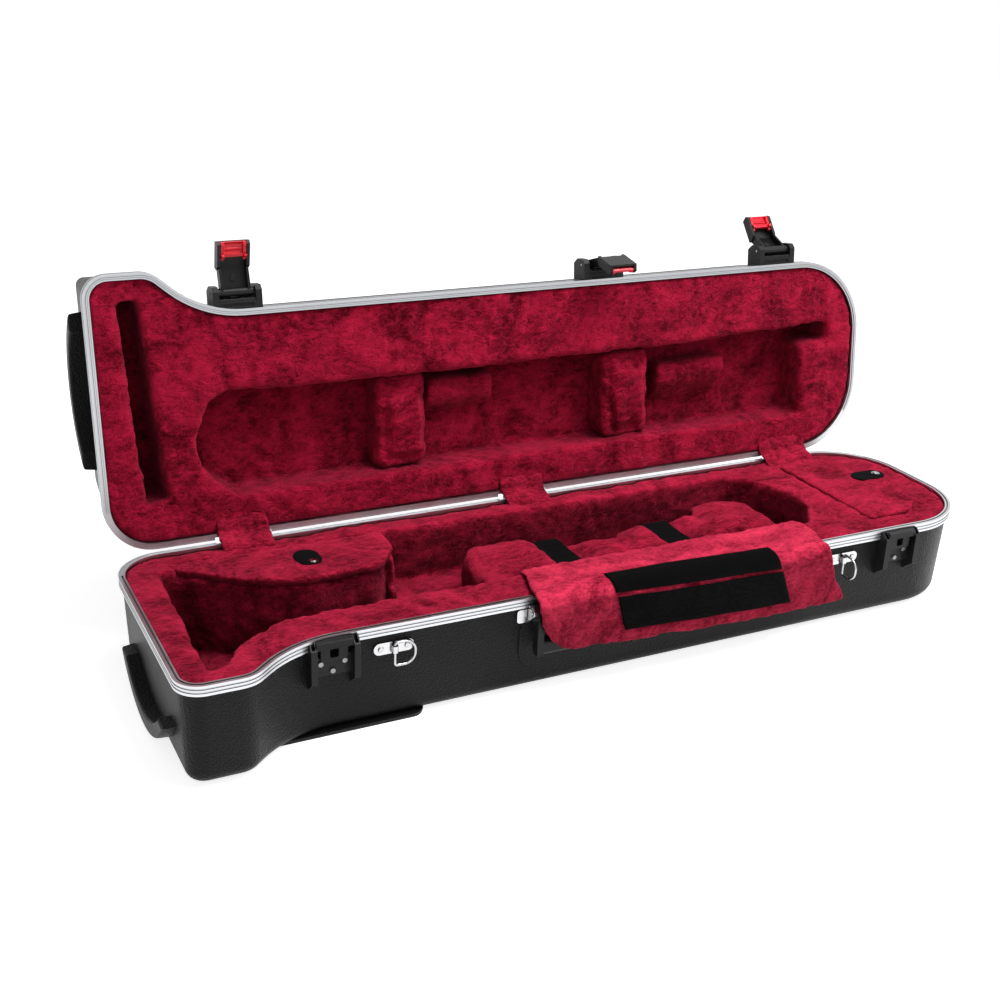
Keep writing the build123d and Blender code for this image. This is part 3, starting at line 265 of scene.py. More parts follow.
def makeWeave():
    tree, start, end = newGroup(
        "tapeWeave",
        [("Across", floatSocket, 420.0), ("Along", floatSocket, 420.0), ("Loose", floatSocket, 0.5)],
        [("Height", floatSocket), ("Mask", floatSocket)])
    place = addNode(tree, "ShaderNodeTexCoord", -1000, 200)
    uneven = {"Distortion": 0.6, "Detail": 1.0}
    first = addNode(tree, "ShaderNodeTexWave", -740, 320, {"bands_direction": "X"}, uneven)
    second = addNode(tree, "ShaderNodeTexWave", -740, 20, {"bands_direction": "Y"}, uneven)
    fuzz = addNode(tree, "ShaderNodeTexNoise", -740, -280,
                   inputs={"Scale": 1300.0, "Detail": 4.0, "Roughness": 0.75})
    for texture in (first, second, fuzz):
        wire(tree, place, "Object", texture, "Vector")
    wire(tree, start, "Across", first, "Scale")
    wire(tree, start, "Along", second, "Scale")
    threads = mathNode(tree, "MULTIPLY", -480, 180)
    wire(tree, first, "Fac", threads, 0)
    wire(tree, second, "Fac", threads, 1)
    loose = mathNode(tree, "MULTIPLY", -480, -200)
    wire(tree, fuzz, 0, loose, 0)
    wire(tree, start, "Loose", loose, 1)
    height = mathNode(tree, "ADD", -220, 60)
    wire(tree, threads, 0, height, 0)
    wire(tree, loose, 0, height, 1)
    wire(tree, height, 0, end, "Height")
    wire(tree, fuzz, 0, end, "Mask")
    return tree


# Painted shade: ambient occlusion darkens hollows, and a surface that does not face up is darkened as if under
# light from above
def makeHollow():
    tree, start, end = newGroup(
        "hollowShade",
        [("Reach", floatSocket, 0.07), ("Dark", floatSocket, 0.12), ("Open", floatSocket, 0.7),
         ("Deepest", floatSocket, 0.3), ("Wall Shade", floatSocket, 1.0)],
        [("Shade", floatSocket)])
    around = addNode(tree, "ShaderNodeAmbientOcclusion", -700, 300, {"samples": 8})
    wire(tree, start, "Reach", around, "Distance")
    shade = rangeNode(tree, -400, 300, 0.12, 0.7, 0.3, 1.0)
    wire(tree, around, "AO", shade, "Value")
    wire(tree, start, "Dark", shade, "From Min")
    wire(tree, start, "Open", shade, "From Max")
    wire(tree, start, "Deepest", shade, "To Min")
    facing = addNode(tree, "ShaderNodeTexCoord", -900, -100)
    split = addNode(tree, "ShaderNodeSeparateXYZ", -700, -100)
    upward = rangeNode(tree, -400, -100, 0.25, 0.85, 1.0, 1.0)
    wire(tree, facing, "Normal", split, 0)
    wire(tree, split, "Z", upward, "Value")
    wire(tree, start, "Wall Shade", upward, "To Min")
    both = mathNode(tree, "MULTIPLY", 0, 200)
    wire(tree, shade, 0, both, 0)
    wire(tree, upward, 0, both, 1)
    wire(tree, both, 0, end, "Shade")
    return tree


pileTone = makePile()
mouldGrain = makeGrain()
edgeWear = makeWear()
handledMetal = makeSmudge()
tapeWeave = makeWeave()
hollowShade = makeHollow()
print("shared effects ready")


# Finishes

def newMaterial(name):
    material = bpy.data.materials.new(name)
    material.use_nodes = True
    tree = material.node_tree
    tree.nodes.clear()
    shader = addNode(tree, "ShaderNodeBsdfPrincipled", 300, 0)
    out = addNode(tree, "ShaderNodeOutputMaterial", 620, 0)
    wire(tree, shader, 0, out, "Surface")
    return material, tree, shader


def setShader(shader, values):
    for name, value in values.items():
        shader.inputs[name].default_value = value


def bumpFrom(tree, source, output, shader, strength, distance, under=None):
    bump = addNode(tree, "ShaderNodeBump", 60, -300, inputs={"Strength": strength, "Distance": distance})
    wire(tree, source, output, bump, "Height")
    if under is not None:
        wire(tree, under, 0, bump, "Normal")
    wire(tree, bump, 0, shader, "Normal")


# reach and deepest paint shade into hollows, and wallShade paints shade on pile that doesn't face up
def plushMaterial(name, tip, root, patch, patchDepth, tuft, contrast, depth, reach, deepest, wallShade):
    material, tree, shader = newMaterial(name)
    pile = placeGroup(tree, pileTone, -300, 100, {
        "Tip": tip, "Root": root, "Patch Scale": patch, "Patch Depth": patchDepth, "Tuft Scale": tuft,
        "Contrast": contrast})
    hollow = placeGroup(tree, hollowShade, -300, 420, {
        "Reach": reach, "Dark": 0.12, "Open": 0.7, "Deepest": deepest, "Wall Shade": wallShade})
    # The painted shade multiplies the pile colour
    deep = mixColour(tree, 40, 300, "MULTIPLY", 1.0)
    wire(tree, pile, "Colour", deep, mixFirst)
    wire(tree, hollow, "Shade", deep, mixSecond)
    wire(tree, deep, mixResult, shader, "Base Color")
    bumpFrom(tree, pile, "Height", shader, 1.0, depth)
    setShader(shader, {"Roughness": 0.95, "Specular IOR Level": 0.04, "Sheen Weight": 0.34,
                       "Sheen Roughness": 0.34, "Sheen Tint": (1.0, 0.10, 0.20, 1)})
    return material


def mouldedMaterial(name, colour, worn, amount, rough, grain, depth, round, specular, coat=0.0):
    material, tree, shader = newMaterial(name)
    surface = placeGroup(tree, mouldGrain, -300, -160, {"Scale": grain, "Unevenness": 0.22, "Roughness": rough})
    wear = placeGroup(tree, edgeWear, -300, 160, {"Colour": colour, "Worn": worn, "Amount": amount})
    wire(tree, wear, "Colour", shader, "Base Color")
    wire(tree, surface, "Roughness", shader, "Roughness")
    edge = None
    if round:
        edge = addNode(tree, "ShaderNodeBevel", -200, -460, {"samples": 4}, {"Radius": round})
    bumpFrom(tree, surface, "Height", shader, 0.6, depth, edge)
    setShader(shader, {"Specular IOR Level": specular, "Coat Weight": coat, "Coat Roughness": 0.12})
    return material


def metalMaterial(name, colour, hollow, rough, spread, scale, depth, anisotropic=0.0):
    material, tree, shader = newMaterial(name)
    surface = placeGroup(tree, handledMetal, -300, -100, {"Base": rough, "Spread": spread, "Scale": scale})
    wear = placeGroup(tree, edgeWear, -500, 180, {
        "Colour": colour, "Worn": (0.80, 0.80, 0.81, 1), "Amount": 0.5, "Edge": 0.53})
    # Painted shade: the hollow colour is mixed in where ambient occlusion finds crevices, such as the rim's
    # grooves
    creviceShade = placeGroup(tree, hollowShade, -300, 420, {
        "Reach": 0.0022, "Dark": 0.45, "Open": 0.92, "Deepest": 0.0, "Wall Shade": 1.0})
    tone = mixColour(tree, -80, 260)
    tone.inputs[mixFirst].default_value = hollow
    wire(tree, creviceShade, "Shade", tone, 0)
    wire(tree, wear, "Colour", tone, mixSecond)
    wire(tree, tone, mixResult, shader, "Base Color")
    wire(tree, surface, "Roughness", shader, "Roughness")
    bumpFrom(tree, surface, "Height", shader, 0.2, depth)
    setShader(shader, {"Metallic": 1.0, "Anisotropic": anisotropic})
    return material


def tapeMaterial(name, colour, lint, across, along, loose, depth):
    material, tree, shader = newMaterial(name)
    weave = placeGroup(tree, tapeWeave, -520, 0, {"Across": across, "Along": along, "Loose": loose})
    raised = rangeNode(tree, -300, 160, 0.55, 0.8, 0.0, 0.5)
    wire(tree, weave, "Mask", raised, 0)
    tone = mixColour(tree, -80, 160)
    tone.inputs[mixFirst].default_value = colour
    tone.inputs[mixSecond].default_value = lint
    wire(tree, raised, 0, tone, 0)
    wire(tree, tone, mixResult, shader, "Base Color")
    bumpFrom(tree, weave, "Height", shader, 0.7, depth)
    setShader(shader, {"Roughness": 0.88, "Specular IOR Level": 0.03, "Sheen Weight": 0.01,
                       "Sheen Roughness": 0.4})
    return material


# One plush in three copies: the lid copy has darker tip and root colours as painted shade, and the flap copy
# brighter ones as painted light
plushBright = plushMaterial(
    "plushCrimson", tip=(0.52, 0.016, 0.055, 1), root=(0.09, 0.0008, 0.006, 1), patch=14.0, patchDepth=1.9,
    tuft=210.0, contrast=1.0, depth=0.0034, reach=0.11, deepest=0.24, wallShade=0.62)
plushShadedLid = plushMaterial(
    "plushCrimsonShadedLid", tip=(0.44, 0.010, 0.042, 1), root=(0.07, 0.0006, 0.005, 1), patch=12.0, patchDepth=1.9,
    tuft=190.0, contrast=1.0, depth=0.0038, reach=0.055, deepest=0.32, wallShade=1.0)
plushFlap = plushMaterial(
    "plushCrimsonLitFlap", tip=(0.80, 0.042, 0.105, 1), root=(0.15, 0.0014, 0.011, 1), patch=15.0, patchDepth=2.4,
    tuft=260.0, contrast=0.7, depth=0.0024, reach=0.07, deepest=0.35, wallShade=0.55)
blackShell = mouldedMaterial(
    "texturedBlackShell", (0.0056, 0.0053, 0.0056, 1), worn=(0.025, 0.025, 0.026, 1), amount=0.35, rough=0.38,
    grain=540.0, depth=0.0019, round=0.0, specular=0.11)
blackNylon = mouldedMaterial(
    "satinBlackNylon", (0.0065, 0.0062, 0.0065, 1), worn=(0.04, 0.04, 0.041, 1), amount=0.4, rough=0.34,
    grain=1500.0, depth=0.00010, round=0.0008, specular=0.16)
redNylon = mouldedMaterial(
    "redTriggerNylon", (0.60, 0.006, 0.020, 1), worn=(0.70, 0.08, 0.09, 1), amount=0.2, rough=0.30,
    grain=1600.0, depth=0.00002, round=0.0008, specular=0.25, coat=0.1)
ribbedAluminium = metalMaterial(
    "brightAluminium", (0.50, 0.51, 0.53, 1), hollow=(0.05, 0.05, 0.055, 1), rough=0.26, spread=0.16,
    scale=30.0, depth=0.00006, anisotropic=0.4)
chromePlate = metalMaterial(
    "brightChrome", (0.40, 0.40, 0.41, 1), hollow=(0.02, 0.02, 0.02, 1), rough=0.13, spread=0.10,
    scale=90.0, depth=0.00002)
darkSteel = metalMaterial(
    "darkRivetSteel", (0.16, 0.16, 0.17, 1), hollow=(0.02, 0.02, 0.02, 1), rough=0.30, spread=0.15,
    scale=60.0, depth=0.00004)
hingeSteel = metalMaterial(
    "nickelSteel", (0.45, 0.45, 0.46, 1), hollow=(0.05, 0.05, 0.05, 1), rough=0.24, spread=0.15,
    scale=60.0, depth=0.00004)
webbingBlack = tapeMaterial(
    "blackWebbing", (0.003, 0.003, 0.0032, 1), lint=(0.016, 0.016, 0.017, 1), across=330.0, along=420.0,
    loose=0.5, depth=0.0006)
hookBlack = tapeMaterial(
    "blackHookTape", (0.0020, 0.0019, 0.0020, 1), lint=(0.008, 0.0075, 0.008, 1), across=700.0, along=700.0,
    loose=1.6, depth=0.0006)
tabBlack = tapeMaterial(
    "blackTab", (0.0035, 0.0035, 0.0037, 1), lint=(0.014, 0.014, 0.015, 1), across=600.0, along=600.0,
    loose=0.9, depth=0.0004)

latchSides = ("left", "centre", "right")
finishes = (
    (blackShell, ["base_shell", "lid_shell"]),
    (ribbedAluminium, ["base_rim", "lid_rim"]),
    (darkSteel, ["keeper_rivets"]),
    (chromePlate, ["ring_plate_left", "ring_plate_right", "ring_plate_rivets", "d_ring_left", "d_ring_right",
                   "handle_clip_left", "handle_clip_right", "hinge_base_rivets", "hinge_lid_rivets",
                   "snap_left", "snap_right"]),
    (hingeSteel, ["hinge_base_leaves", "hinge_lid_leaves", "hinge_pins", "latch_pins"]),
    (blackNylon, ["bracket_rivets", "carry_handle"]
     + [kind + side for kind in ("keeper_", "latch_bracket_", "latch_lever_") for side in latchSides]),
    (redNylon, [kind + side for kind in ("lever_dot_", "trigger_") for side in latchSides]),
)
for material, names in finishes:
    for name in names:
        for place in nodes[name].material_slots:
            place.material = material
print("hard pieces finished:", sum(len(names) for material, names in finishes))


def linkPiece(name, mesh, material):
    piece = bpy.data.objects.new(name, mesh)
    bpy.context.scene.collection.objects.link(piece)
    piece.data.materials.clear()
    piece.data.materials.append(material)
    return piece


# Latch brackets: a lip and a lintel close the slot behind each lever barrel

bracketLook = {"centres": (-0.3165, 0.102, 0.340), "halfWidth": 0.0184, "edge": 0.0004,
               "hinge": (0.140, 0.106), "openAngle": 96.8}

# Each bar is a share of the width and its outline, given with the lid closed
bracketProfiles = (
    (1.0, ((-0.1024, 0.1071), (-0.1062, 0.1071), (-0.1062, 0.1092), (-0.1042, 0.1100), (-0.1024, 0.1100))),
    (1.0, ((-0.1024, 0.1243), (-0.1074, 0.1243), (-0.1074, 0.1268), (-0.1024, 0.1268))),
    (0.19, ((-0.1024, 0.1202), (-0.1066, 0.1202), (-0.1066, 0.1247), (-0.1024, 0.1247))),
)


def openedPoint(x, y, z):
    turn = math.radians(bracketLook["openAngle"])
    hingeY, hingeZ = bracketLook["hinge"]
    back = y - hingeY
    up = z - hingeZ
    return (x, hingeY + back * math.cos(turn) + up * math.sin(turn),
            hingeZ - back * math.sin(turn) + up * math.cos(turn))


def makeBracketBars():
    for side, centre in zip(("Left", "Centre", "Right"), bracketLook["centres"]):
        bars = bmesh.new()
        for share, profile in bracketProfiles:
            half = bracketLook["halfWidth"] * share
            rings = [[bars.verts.new(openedPoint(x, y, z)) for y, z in profile]
                     for x in (centre - half, centre + half)]
            bars.faces.new(rings[0])
            bars.faces.new(tuple(reversed(rings[1])))
            for i in range(len(profile)):
                j = (i + 1) % len(profile)
                bars.faces.new((rings[0][i], rings[1][i], rings[1][j], rings[0][j]))
        bmesh.ops.recalc_face_normals(bars, faces=bars.faces)
        bmesh.ops.bevel(bars, geom=bars.edges[:], offset=bracketLook["edge"], segments=2, affect="EDGES")
        mesh = bpy.data.meshes.new("bracketBars" + side)
        bars.to_mesh(mesh)
        bars.free()
        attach(linkPiece("bracketBars" + side, mesh, blackNylon), "case_lid")


makeBracketBars()


# Small helpers for soft pieces

def applyModifiers(piece):
    graph = bpy.context.evaluated_depsgraph_get()
    mesh = bpy.data.meshes.new_from_object(piece.evaluated_get(graph))
    piece.modifiers.clear()
    piece.data = mesh


def subdivide(piece):
    finer = piece.modifiers.new("finer", "SUBSURF")
    finer.levels = 1
    finer.render_levels = 1
    applyModifiers(piece)


def meshTree(meshes):
    vertices = []
    faces = []
    for mesh in meshes:
        first = len(vertices)
        vertices.extend([v.co.copy() for v in mesh.vertices])
        faces.extend([[first + i for i in p.vertices] for p in mesh.polygons])
    return BVHTree.FromPolygons(vertices, faces)


def softCopy(nodeName, pieceName, look, material):
    piece = linkPiece(pieceName, nodes[nodeName].data.copy(), material)
    remesh = piece.modifiers.new("skin", "REMESH")
    remesh.mode = "VOXEL"
    remesh.voxel_size = look["voxel"]
    soften = piece.modifiers.new("soften", "SMOOTH")
    soften.factor = 0.5
    soften.iterations = look["smoothing"]
    applyModifiers(piece)
    piece.data.materials.clear()
    piece.data.materials.append(material)
    return piece


# Vertices that have the tree's faces close above them rise by grow alone, so no pile pokes through
def raisePile(piece, seed, grow, waves, tree=None, reach=0.006):
    mesh = piece.data
    offset = Vector((seed * 3.7, seed * 1.9, seed * 5.3))
    moved = []
    for vertex in mesh.vertices:
        point = vertex.co
        normal = vertex.normal
        share = 1.0
        if tree is not None and tree.ray_cast(point, normal, reach)[0] is not None:
            share = 0.0
        rise = grow
        for size, depth in waves:
            rise += share * depth * noise.noise(point / size + offset)
        moved.append(point + normal * rise)
    for vertex, point in zip(mesh.vertices, moved):
        vertex.co = point
    mesh.update()
    mesh.shade_smooth()


# Plush linings over the moulded formers

liningLook = {"voxel": 0.0030, "smoothing": 9, "grow": 0.0016,
              "waves": ((0.045, 0.0020), (0.014, 0.0016), (0.0065, 0.0011))}


def makeLinings():
    baseTree = meshTree([nodes[name].data for name in ("base_shell", "base_rim")])
    lidTree = meshTree([nodes[name].data for name in ("lid_shell", "lid_rim")])
    for nodeName, pieceName, body, tree, material, seed in (
            ("base_lining", "plushBaseLining", "case_base", baseTree, plushBright, 1),
            ("lid_lining", "plushLidLining", "case_lid", lidTree, plushShadedLid, 2)):
        piece = softCopy(nodeName, pieceName, liningLook, material)
        raisePile(piece, seed, liningLook["grow"], liningLook["waves"], tree)
        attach(piece, body)
        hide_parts(nodeName)
        print("lining", pieceName, len(piece.data.vertices))


makeLinings()


# Stuffed pad, holders and wedges

padLook = {"voxel": 0.0045, "smoothing": 3, "pressure": 4.0, "frames": 20, "limit": 0.008, "grow": 0.0006,
           "waves": ((0.05, 0.0040), (0.018, 0.0022), (0.007, 0.0010)), "strapReach": 0.012}
channelLook = {"centres": (-0.025, 0.112), "flatHalf": 0.012, "half": 0.034, "top": 0.0895, "above": 0.055,
               "shoulder": 0.006}


def puff(piece, pressure, frames, limit):
    start = [v.co.copy() for v in piece.data.vertices]
    cloth = piece.modifiers.new("puff", "CLOTH")
    cloth.settings.use_pressure = True
    cloth.settings.uniform_pressure_force = pressure
    cloth.settings.effector_weights.gravity = 0.0
    cloth.settings.quality = 5
    cloth.point_cache.frame_start = 1
    cloth.point_cache.frame_end = frames
    scene = bpy.context.scene
    for number in range(1, frames + 1):
        scene.frame_set(number)
    applyModifiers(piece)
    scene.frame_set(1)
    for vertex, old in zip(piece.data.vertices, start):
        move = vertex.co - old
        if move.length > limit:
            vertex.co = old + move * (limit / move.length)


def makePad():
    piece = softCopy("cradle_pad", "plushCradlePad", padLook, plushBright)
    puff(piece, padLook["pressure"], padLook["frames"], padLook["limit"])
    subdivide(piece)
    # The straps press their channels back into the stuffing
    slope = channelLook["half"] - channelLook["flatHalf"]
    for vertex in piece.data.vertices:
        for centre in channelLook["centres"]:
            away = abs(vertex.co.x - centre)
            if away < channelLook["half"] and vertex.co.z > channelLook["above"]:
                press = 0.5 + 0.5 * math.cos(math.pi * max(0.0, away - channelLook["flatHalf"]) / slope)
                low = channelLook["top"] + channelLook["shoulder"] * (1 - press)
                if vertex.co.z > low:
                    vertex.co.z = low + (vertex.co.z - low) * (1 - press)
    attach(piece, "case_base")
    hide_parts("cradle_pad")
    print("pad", len(piece.data.vertices))
    return piece


cradlePad = makePad()


holderLook = {"voxel": 0.0025, "smoothing": 5, "grow": 0.0012,
              "waves": ((0.03, 0.0026), (0.012, 0.0018), (0.006, 0.0010))}


def makeHolders():
    for index, nodeName in enumerate((
            "lid_holder_left", "lid_holder_right", "lid_wedge_left", "lid_wedge_right")):
        pieceName = "plush" + "".join(word.capitalize() for word in nodeName.split("_"))
        piece = softCopy(nodeName, pieceName, holderLook, plushShadedLid)
        raisePile(piece, 10 + index, holderLook["grow"], holderLook["waves"])
        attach(piece, "case_lid")
        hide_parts(nodeName)


makeHolders()

boxLidLook = {"voxel": 0.0022, "smoothing": 4, "grow": 0.0006,
              "waves": ((0.04, 0.0014), (0.013, 0.0012), (0.006, 0.0008))}


def makeBoxLids():
    for index, side in enumerate(("left", "right")):
        body = "box_lid_" + side
        piece = softCopy(body, "plushBoxLid" + side.capitalize(), boxLidLook, plushBright)
        raisePile(piece, 20 + index, boxLidLook["grow"], boxLidLook["waves"])
        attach(piece, body)
        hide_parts(body)


makeBoxLids()
print("pads, holders and compartment lids made")


# Strips along a bent path, shared by the flap, its tapes, the hinge covers and the straps

def pathTable(points):
    table = [(0.0, points[0])]
    for before, after in zip(points, points[1:]):
        step = math.hypot(after[0] - before[0], after[1] - before[1])
        table.append((table[-1][0] + step, after))
    return table


def smoothPath(points, steps):
    curve = bpy.data.curves.new("pathGuide", "CURVE")
    spline = curve.splines.new("NURBS")
    spline.points.add(len(points) - 1)
    for target, (y, z) in zip(spline.points, points):
        target.co = (0, y, z, 1)
    spline.order_u = 3
    spline.use_endpoint_u = True
    spline.resolution_u = steps
    holder = bpy.data.objects.new("pathGuide", curve)
    mesh = bpy.data.meshes.new_from_object(holder)
    found = [(v.co.y, v.co.z) for v in mesh.vertices]
    bpy.data.objects.remove(holder)
    bpy.data.meshes.remove(mesh)
    return pathTable(found)


def alongPath(table, distance):
    distance = max(0.0, min(distance, table[-1][0]))
    for (low, start), (high, end) in zip(table, table[1:]):
        if distance <= high:
            share = (distance - low) / max(high - low, 1e-9)
            y = start[0] + (end[0] - start[0]) * share
            z = start[1] + (end[1] - start[1]) * share
            length = max(math.hypot(end[0] - start[0], end[1] - start[1]), 1e-9)
            return y, z, -(end[1] - start[1]) / length, (end[0] - start[0]) / length
    return table[-1][1][0], table[-1][1][1], 0.0, 1.0


def sheetMesh(name, across, along, surface, thick):
    # surface(u, v) gives a point and its outward normal, with u and v from 0 to 1
    mesh = bmesh.new()
    front = []
    back = []
    for i in range(across + 1):
        frontRow = []
        backRow = []
        for j in range(along + 1):
            point, normal = surface(i / across, j / along)
            edge = min(i, across - i, j, along - j)
            half = thick / 2 * (0.55 if edge == 0 else 0.9 if edge == 1 else 1.0)
            frontRow.append(mesh.verts.new(point + normal * half))
            backRow.append(mesh.verts.new(point - normal * half))
        front.append(frontRow)
        back.append(backRow)
    for i in range(across):
        for j in range(along):
            mesh.faces.new((front[i][j], front[i][j + 1], front[i + 1][j + 1], front[i + 1][j]))
            mesh.faces.new((back[i][j], back[i + 1][j], back[i + 1][j + 1], back[i][j + 1]))
    for j in range(along):
        mesh.faces.new((front[0][j], back[0][j], back[0][j + 1], front[0][j + 1]))
        mesh.faces.new((front[across][j], front[across][j + 1], back[across][j + 1], back[across][j]))
    for i in range(across):
        mesh.faces.new((front[i][0], front[i + 1][0], back[i + 1][0], back[i][0]))
        mesh.faces.new((front[i][along], back[i][along], back[i + 1][along], front[i + 1][along]))
    bmesh.ops.recalc_face_normals(mesh, faces=mesh.faces)
    data = bpy.data.meshes.new(name)
    mesh.to_mesh(data)
    mesh.free()
    return data


# Plush flap folded out over the front rim, with its two black hook tapes

flapLook = {"thick": 0.0046, "ripple": 0.0030, "hangStart": 0.07, "hangLength": 0.05, "cornerShare": 0.06,
            "cornerLeft": 0.008, "cornerRight": 0.0024, "shortLeft": 0.014, "tapeThick": 0.0015,
            "tapeRise": 0.0031, "grow": 0.0003, "waves": ((0.03, 0.0012), (0.009, 0.0012), (0.0045, 0.0008)),
            "tapeReach": 0.009, "tapeWaves": ((0.0035, 0.00025),)}
flapPath = smoothPath((
    (-0.0362, 0.0945), (-0.0364, 0.1010), (-0.0400, 0.1056), (-0.0550, 0.1072), (-0.0750, 0.1082),
    (-0.0930, 0.1094), (-0.1060, 0.1096), (-0.1144, 0.1030), (-0.1152, 0.0900), (-0.1140, 0.0760),
    (-0.1148, 0.0600), (-0.1150, 0.0420)), 12)

# Distance along the path with the left and right edge there
flapEdges = (
    (0.000, -0.096, 0.240), (0.030, -0.100, 0.243), (0.050, -0.106, 0.238), (0.072, -0.111, 0.231),
    (0.098, -0.114, 0.234), (0.122, -0.110, 0.243), (0.138, -0.102, 0.256), (0.148, -0.094, 0.258))


def flapSides(distance):
    for before, after in zip(flapEdges, flapEdges[1:]):
        if distance <= after[0]:
            share = (distance - before[0]) / (after[0] - before[0])
            return before[1] + (after[1] - before[1]) * share, before[2] + (after[2] - before[2]) * share
    return flapEdges[-1][1], flapEdges[-1][2]


def flapPoint(x, distance, out=0.0):
    y, z, normalY, normalZ = alongPath(flapPath, distance)
    hang = max(0.0, min(1.0, (distance - flapLook["hangStart"]) / flapLook["hangLength"]))
    wave = noise.noise(Vector((x / 0.085, distance / 0.07, 4.2)))
    wave += 0.5 * noise.noise(Vector((x / 0.035, distance / 0.03, 9.1)))
    lift = flapLook["ripple"] * wave * (0.35 + 0.9 * hang)
    normal = Vector((0.0, -normalY, -normalZ))
    return Vector((x, y, z)) + normal * (lift + out), normal


def flapSurface(u, v):
    total = flapPath[-1][0]
    left, right = flapSides(v * total)
    x = left + (right - left) * u
    corner = max(0.0, 1.0 - min(u, 1 - u) / flapLook["cornerShare"])
    rounding = flapLook["cornerLeft"] if u < 0.5 else flapLook["cornerRight"]
    shorter = flapLook["shortLeft"] * max(0.0, 0.75 - u) + rounding * corner * corner
    distance = v * (total - shorter)
    return flapPoint(x, distance)


def makeFlap():
    mesh = sheetMesh("plushFlap", 130, 56, flapSurface, flapLook["thick"])
    piece = linkPiece("plushFlap", mesh, plushFlap)
    subdivide(piece)
    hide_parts("flap_root", "flap_end")
    tapes = []
    for name, node, near, far in (
            ("hookTapeUpper", "loop_strip_upper", ((-0.030, 0.0590), (0.162, 0.0680)),
             ((-0.032, 0.0868), (0.166, 0.0935))),
            ("hookTapeLower", "loop_strip_lower", ((-0.030, 0.0905), (0.168, 0.0970)),
             ((-0.020, 0.1270), (0.184, 0.1355)))):

        def tapeSurface(u, v, near=near, far=far):
            places = []
            for part in (0, 1):
                upper = near[0][part] + (near[1][part] - near[0][part]) * u
                lower = far[0][part] + (far[1][part] - far[0][part]) * u
                places.append(upper + (lower - upper) * v)
            return flapPoint(places[0], places[1], flapLook["tapeRise"] + flapLook["tapeThick"] / 2)

        mesh = sheetMesh(name, 90, 24, tapeSurface, flapLook["tapeThick"])
        tape = linkPiece(name, mesh, hookBlack)
        raisePile(tape, 33, 0.0, flapLook["tapeWaves"])
        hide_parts(node)
        tapes.append(tape)
    underTapes = meshTree([tape.data for tape in tapes])
    raisePile(piece, 30, flapLook["grow"], flapLook["waves"], underTapes, flapLook["tapeReach"])
    for cloth in [piece] + tapes:
        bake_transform(cloth)


makeFlap()


# Plush strips over the hinges

coverLook = {"thick": 0.0050, "centres": (-0.328, -0.0045, 0.357), "widths": (0.054, 0.053, 0.068),
             "grow": 0.0002, "waves": ((0.012, 0.0012), (0.005, 0.0008))}
coverPath = smoothPath((
    (0.1180, 0.1010), (0.1230, 0.1060), (0.1300, 0.1092), (0.1365, 0.1110), (0.1410, 0.1150), (0.1425, 0.1200),
    (0.1475, 0.1260), (0.1550, 0.1330)), 8)


def makeCovers():
    for index, (centre, width) in enumerate(zip(coverLook["centres"], coverLook["widths"])):

        def coverSurface(u, v, centre=centre, width=width):
            y, z, normalY, normalZ = alongPath(coverPath, v * coverPath[-1][0])
            normal = Vector((0.0, -abs(normalY), abs(normalZ))).normalized()
            return Vector((centre + (u - 0.5) * width, y, z)), normal

        name = "plushHingeCover" + ("Left", "Middle", "Right")[index]
        mesh = sheetMesh(name, 24, 26, coverSurface, coverLook["thick"])
        piece = linkPiece(name, mesh, plushBright)
        subdivide(piece)
        raisePile(piece, 40 + index, coverLook["grow"], coverLook["waves"])
        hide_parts("hinge_covers")
        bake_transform(piece)


makeCovers()


# Webbing straps over the cradle pad

strapLook = {"width": 0.030, "thick": 0.0016, "ridge": 0.00025, "ribs": 9, "backs": (0.051, 0.048)}


def makeStraps():
    straps = []
    for side, centre, back in zip(("left", "right"), channelLook["centres"], strapLook["backs"]):
        path = smoothPath((
            (-0.0350, 0.0915), (-0.0100, 0.0912), (0.0150, 0.0912), (0.0360, 0.0914), (back, 0.0908),
            (back + 0.0030, 0.0800), (back + 0.0026, 0.0610)), 10)

        def strapSurface(u, v, centre=centre, path=path):
            y, z, normalY, normalZ = alongPath(path, v * path[-1][0])
            rib = strapLook["ridge"] * math.cos(u * 2 * math.pi * strapLook["ribs"])
            normal = Vector((0.0, normalY, normalZ))
            if normal.y < 0 or normal.z < -0.01:
                normal = -normal
            return Vector((centre + (u - 0.5) * strapLook["width"], y, z)) + normal * rib, normal

        name = "padStrap" + side.capitalize()
        mesh = sheetMesh(name, 72, 60, strapSurface, strapLook["thick"])
        piece = linkPiece(name, mesh, webbingBlack)
        piece.data.shade_smooth()
        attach(piece, "case_base")
        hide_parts("pad_strap_" + side)
        straps.append(piece.data)
    return straps


# The pad's pile waves only where no strap lies on it
raisePile(cradlePad, 3, padLook["grow"], padLook["waves"], meshTree(makeStraps()), padLook["strapReach"])


# Black pull tabs on the compartment lids

def makeTabs():
    for side in ("left", "right"):
        name = "pullTab" + side.capitalize()
        piece = linkPiece(name, nodes["pull_tab_" + side].data.copy(), tabBlack)
        weld = bmesh.new()
        weld.from_mesh(piece.data)
        bmesh.ops.remove_doubles(weld, verts=weld.verts, dist=0.00001)
        weld.to_mesh(piece.data)
        weld.free()
        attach(piece, "box_lid_" + side)
        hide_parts("pull_tab_" + side)


makeTabs()
print("straps, covers and tabs made")


# Camera, floor and lamps

cameraLook = {"place": (-0.68897, -1.14276, 0.70276), "lens": 49.918, "yaw": 27.117, "pitch": 22.582,
              "roll": 2.289}


